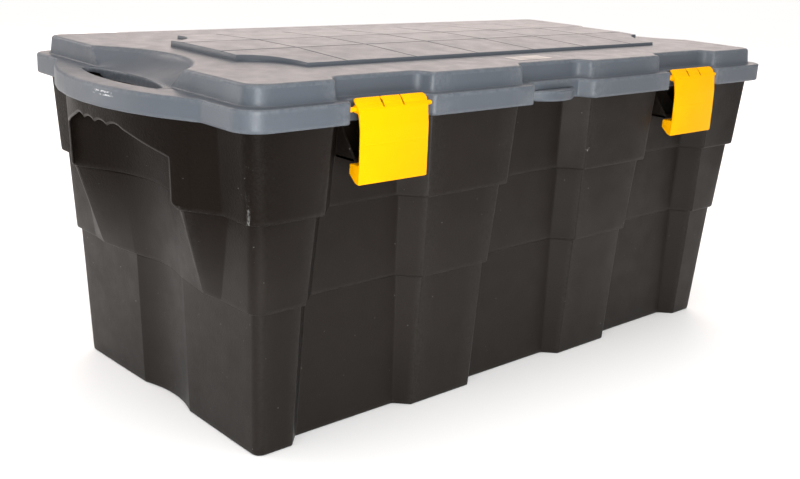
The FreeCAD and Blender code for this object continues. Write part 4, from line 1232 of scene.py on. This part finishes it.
def latch_plastic(centre):
    """Yellow moulded plastic: satin, with fine flow marks, and painted shade in the slits between the
    fingers.
    """
    s = Shader("latch_plastic_" + ("left" if centre < 0 else "right"))
    yellow = s.clouded(bpy.context.scene.trunk.colours.latch, s.noise(14.0, 2.0, 0.5), 0.3, 0.7, 0.95, 1.04)
    # Painted shade: a dark brown line down each slit between the fingers, spilling a little onto the front
    # beside it.
    slits = [s.near("X", centre + at, 2 * SLIT_HALF) for at in (-SLIT_AT, SLIT_AT)]
    slit_shade = s.times(s.sum("MAXIMUM", *slits), s.near("Z", 0.4155, 0.0050))
    yellow = s.tinted(yellow, (0.05, 0.03, 0.0), 0.75, slit_shade)
    rough = s.span(s.noise(40.0, 2.0, 0.5), 0.3, 0.7, 0.40, 0.50)
    normal = s.bump(s.noise(500.0, 2.0, 0.5), 0.10, 0.0003)
    return s.finish(yellow, rough, normal, **{"Specular IOR Level": 0.04})


def label_film():
    """Pale bare film with a faint mottling."""
    s = Shader("bare_film")
    pale = s.clouded(bpy.context.scene.trunk.colours.label, s.noise(90.0, 3.0, 0.6), 0.3, 0.7, 0.95, 1.05)
    rough = s.span(s.noise(50.0, 2.0, 0.5), 0.3, 0.7, 0.35, 0.5)
    return s.finish(pale, rough, s.bump(s.noise(700.0, 2.0, 0.5), 0.08, 0.0002))


def pin_steel():
    """Drawn steel with fine lines round the rod."""
    s = Shader("drawn_steel")
    lines = s.noise(300.0, 2.0, 0.5, (8.0, 1.0, 1.0))
    steel = s.clouded(bpy.context.scene.trunk.colours.pin, lines, 0.3, 0.7, 0.85, 1.1)
    return s.finish(steel, s.span(lines, 0.3, 0.7, 0.28, 0.42), s.bump(lines, 0.15, 0.0002), Metallic=1.0)


class TRUNK_OT_stage(Operator):
    """Stage: a pale floor, soft studio light and the camera at the photograph's angle."""
    bl_idname = "trunk.stage"
    bl_label = "Stage"

    def execute(self, context):
        scene = context.scene
        self.floor(np.array(scene.trunk.colours.floor))
        world = bpy.data.worlds.new("studio")
        world.use_nodes = True
        world.node_tree.nodes["Background"].inputs["Color"].default_value = (0.93, 0.97, 1.0, 1.0)
        world.node_tree.nodes["Background"].inputs["Strength"].default_value = 0.36
        scene.world = world
        self.sky("ceiling_panel", (-0.1, -0.25, 1.0), angle=1.4, strength=2.6, tint=(1.0, 0.96, 0.93))
        self.lamp("back_softbox", (2.4, 2.6, 1.3), target=(0.0, 0.0, 0.4), size=3.6, power=104.0,
                  tint=(1.0, 0.83, 0.75))
        self.lamp("left_softbox", (-2.3, 1.7, 0.4), target=(-0.45, 0.0, 0.2), size=1.0, power=17.0,
                  tint=(1.0, 0.97, 0.95))
        self.lamp("back_left_softbox", (-1.2, 2.6, 2.1), target=(-0.45, 0.0, 0.42), size=1.2, power=30.0,
                  tint=(1.0, 0.90, 0.86))
        self.lamp("low_front_softbox", (-1.13, -1.62, 0.42), target=(-0.25, -0.2, 0.25), size=0.7,
                  power=29.0, tint=(0.95, 0.98, 1.0))
        scene.view_settings.view_transform = "Standard"
        camera = bpy.data.cameras.new("camera")
        focal_pixels = 1072.095
        picture_width = 800.0
        camera.sensor_width = 36.0
        camera.lens = camera.sensor_width * focal_pixels / picture_width
        camera.clip_end = 100.0
        right = Vector((0.74079573, -0.6698056, 0.05081479))
        up = Vector((0.15534096, 0.24441883, 0.95714608))
        turn = Matrix((right, up, right.cross(up))).transposed().to_4x4()
        place = Matrix.Translation((-1.103087, -1.134361, 0.610721))
        scene.camera = self.placed(camera, place @ turn)
        return {"FINISHED"}

    def placed(self, data, matrix):
        """Object of a mesh, light or camera, put into the scene at a place."""
        item = bpy.data.objects.new(data.name, data)
        item.matrix_world = matrix
        bpy.context.scene.collection.objects.link(item)
        return item

    def floor(self, base):
        """Adds a plain pale floor: one square with matt paint."""
        s = Shader("floor_paint")
        paint = s.mix(s.noise(2.0, 2.0, 0.5), base * 0.99, np.minimum(base * 1.01, 1))
        mesh = bpy.data.meshes.new("floor")
        corners = 30.0 * np.array([(-1, -1, 0), (1, -1, 0), (1, 1, 0), (-1, 1, 0)])
        mesh.from_pydata(corners, [], [(0, 1, 2, 3)])
        mesh.materials.append(s.finish(paint, 0.9, s.bump(s.noise(200.0, 2.0, 0.5), 0.02, 0.0002)))
        floor = self.placed(mesh, Matrix())

    def sky(self, name, towards, angle, strength, tint):
        """Wide soft light without falloff, from a direction."""
        light = bpy.data.lights.new(name, "SUN")
        light.angle = angle
        light.energy = strength
        light.color = tint
        self.placed(light, Vector(towards).to_track_quat("Z", "Y").to_matrix().to_4x4())

    def lamp(self, name, place, target, size, power, tint):
        """Square soft light at a place, turned to a target."""
        light = bpy.data.lights.new(name, "AREA")
        light.shape = "SQUARE"
        light.size = size
        light.energy = power
        light.color = tint
        aim = Vector(target) - Vector(place)
        self.placed(light, Matrix.Translation(place) @ aim.to_track_quat("-Z", "Y").to_matrix().to_4x4())


STEPS = (
    TRUNK_OT_tub_shell, TRUNK_OT_tub_rim, TRUNK_OT_aprons, TRUNK_OT_keepers_and_ears, TRUNK_OT_lid_shell,
    TRUNK_OT_lid_panel, TRUNK_OT_slot_collars, TRUNK_OT_finger_lip, TRUNK_OT_knuckles, TRUNK_OT_latches,
    TRUNK_OT_label, TRUNK_OT_hinge_pins, TRUNK_OT_stage,
)


class TRUNK_PT_panel(Panel):
    """Lists the trunk's sizes, colours and steps."""
    bl_label = "Plastic storage trunk"
    bl_idname = "TRUNK_PT_panel"
    bl_space_type = "VIEW_3D"
    bl_region_type = "UI"
    bl_category = "Trunk"

    def draw(self, context):
        trunk = context.scene.trunk
        for group in (trunk.lid, trunk.tub, trunk.latch, trunk.colours):
            box = self.layout.box()
            for name in group.bl_rna.properties.keys():
                if name not in ("rna_type", "name"):
                    box.prop(group, name)
        for step in STEPS:
            self.layout.operator(step.bl_idname)


CLASSES = (
    TrunkLidSizes, TrunkTubSizes, TrunkLatchSizes, TrunkColours, TrunkSettings, *STEPS, TRUNK_PT_panel,
)


def register():
    """Registers the classes and the scene's settings."""
    for item in CLASSES:
        bpy.utils.register_class(item)
    bpy.types.Scene.trunk = PointerProperty(type=TrunkSettings)


def unregister():
    """Takes the settings and the classes out again."""
    del bpy.types.Scene.trunk
    for item in reversed(CLASSES):
        bpy.utils.unregister_class(item)


def main():
    """Registers the add-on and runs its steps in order."""
    register()
    for step in STEPS:
        group, name = step.bl_idname.split(".")
        getattr(getattr(bpy.ops, group), name)()


if __name__ == "__main__":
    main()
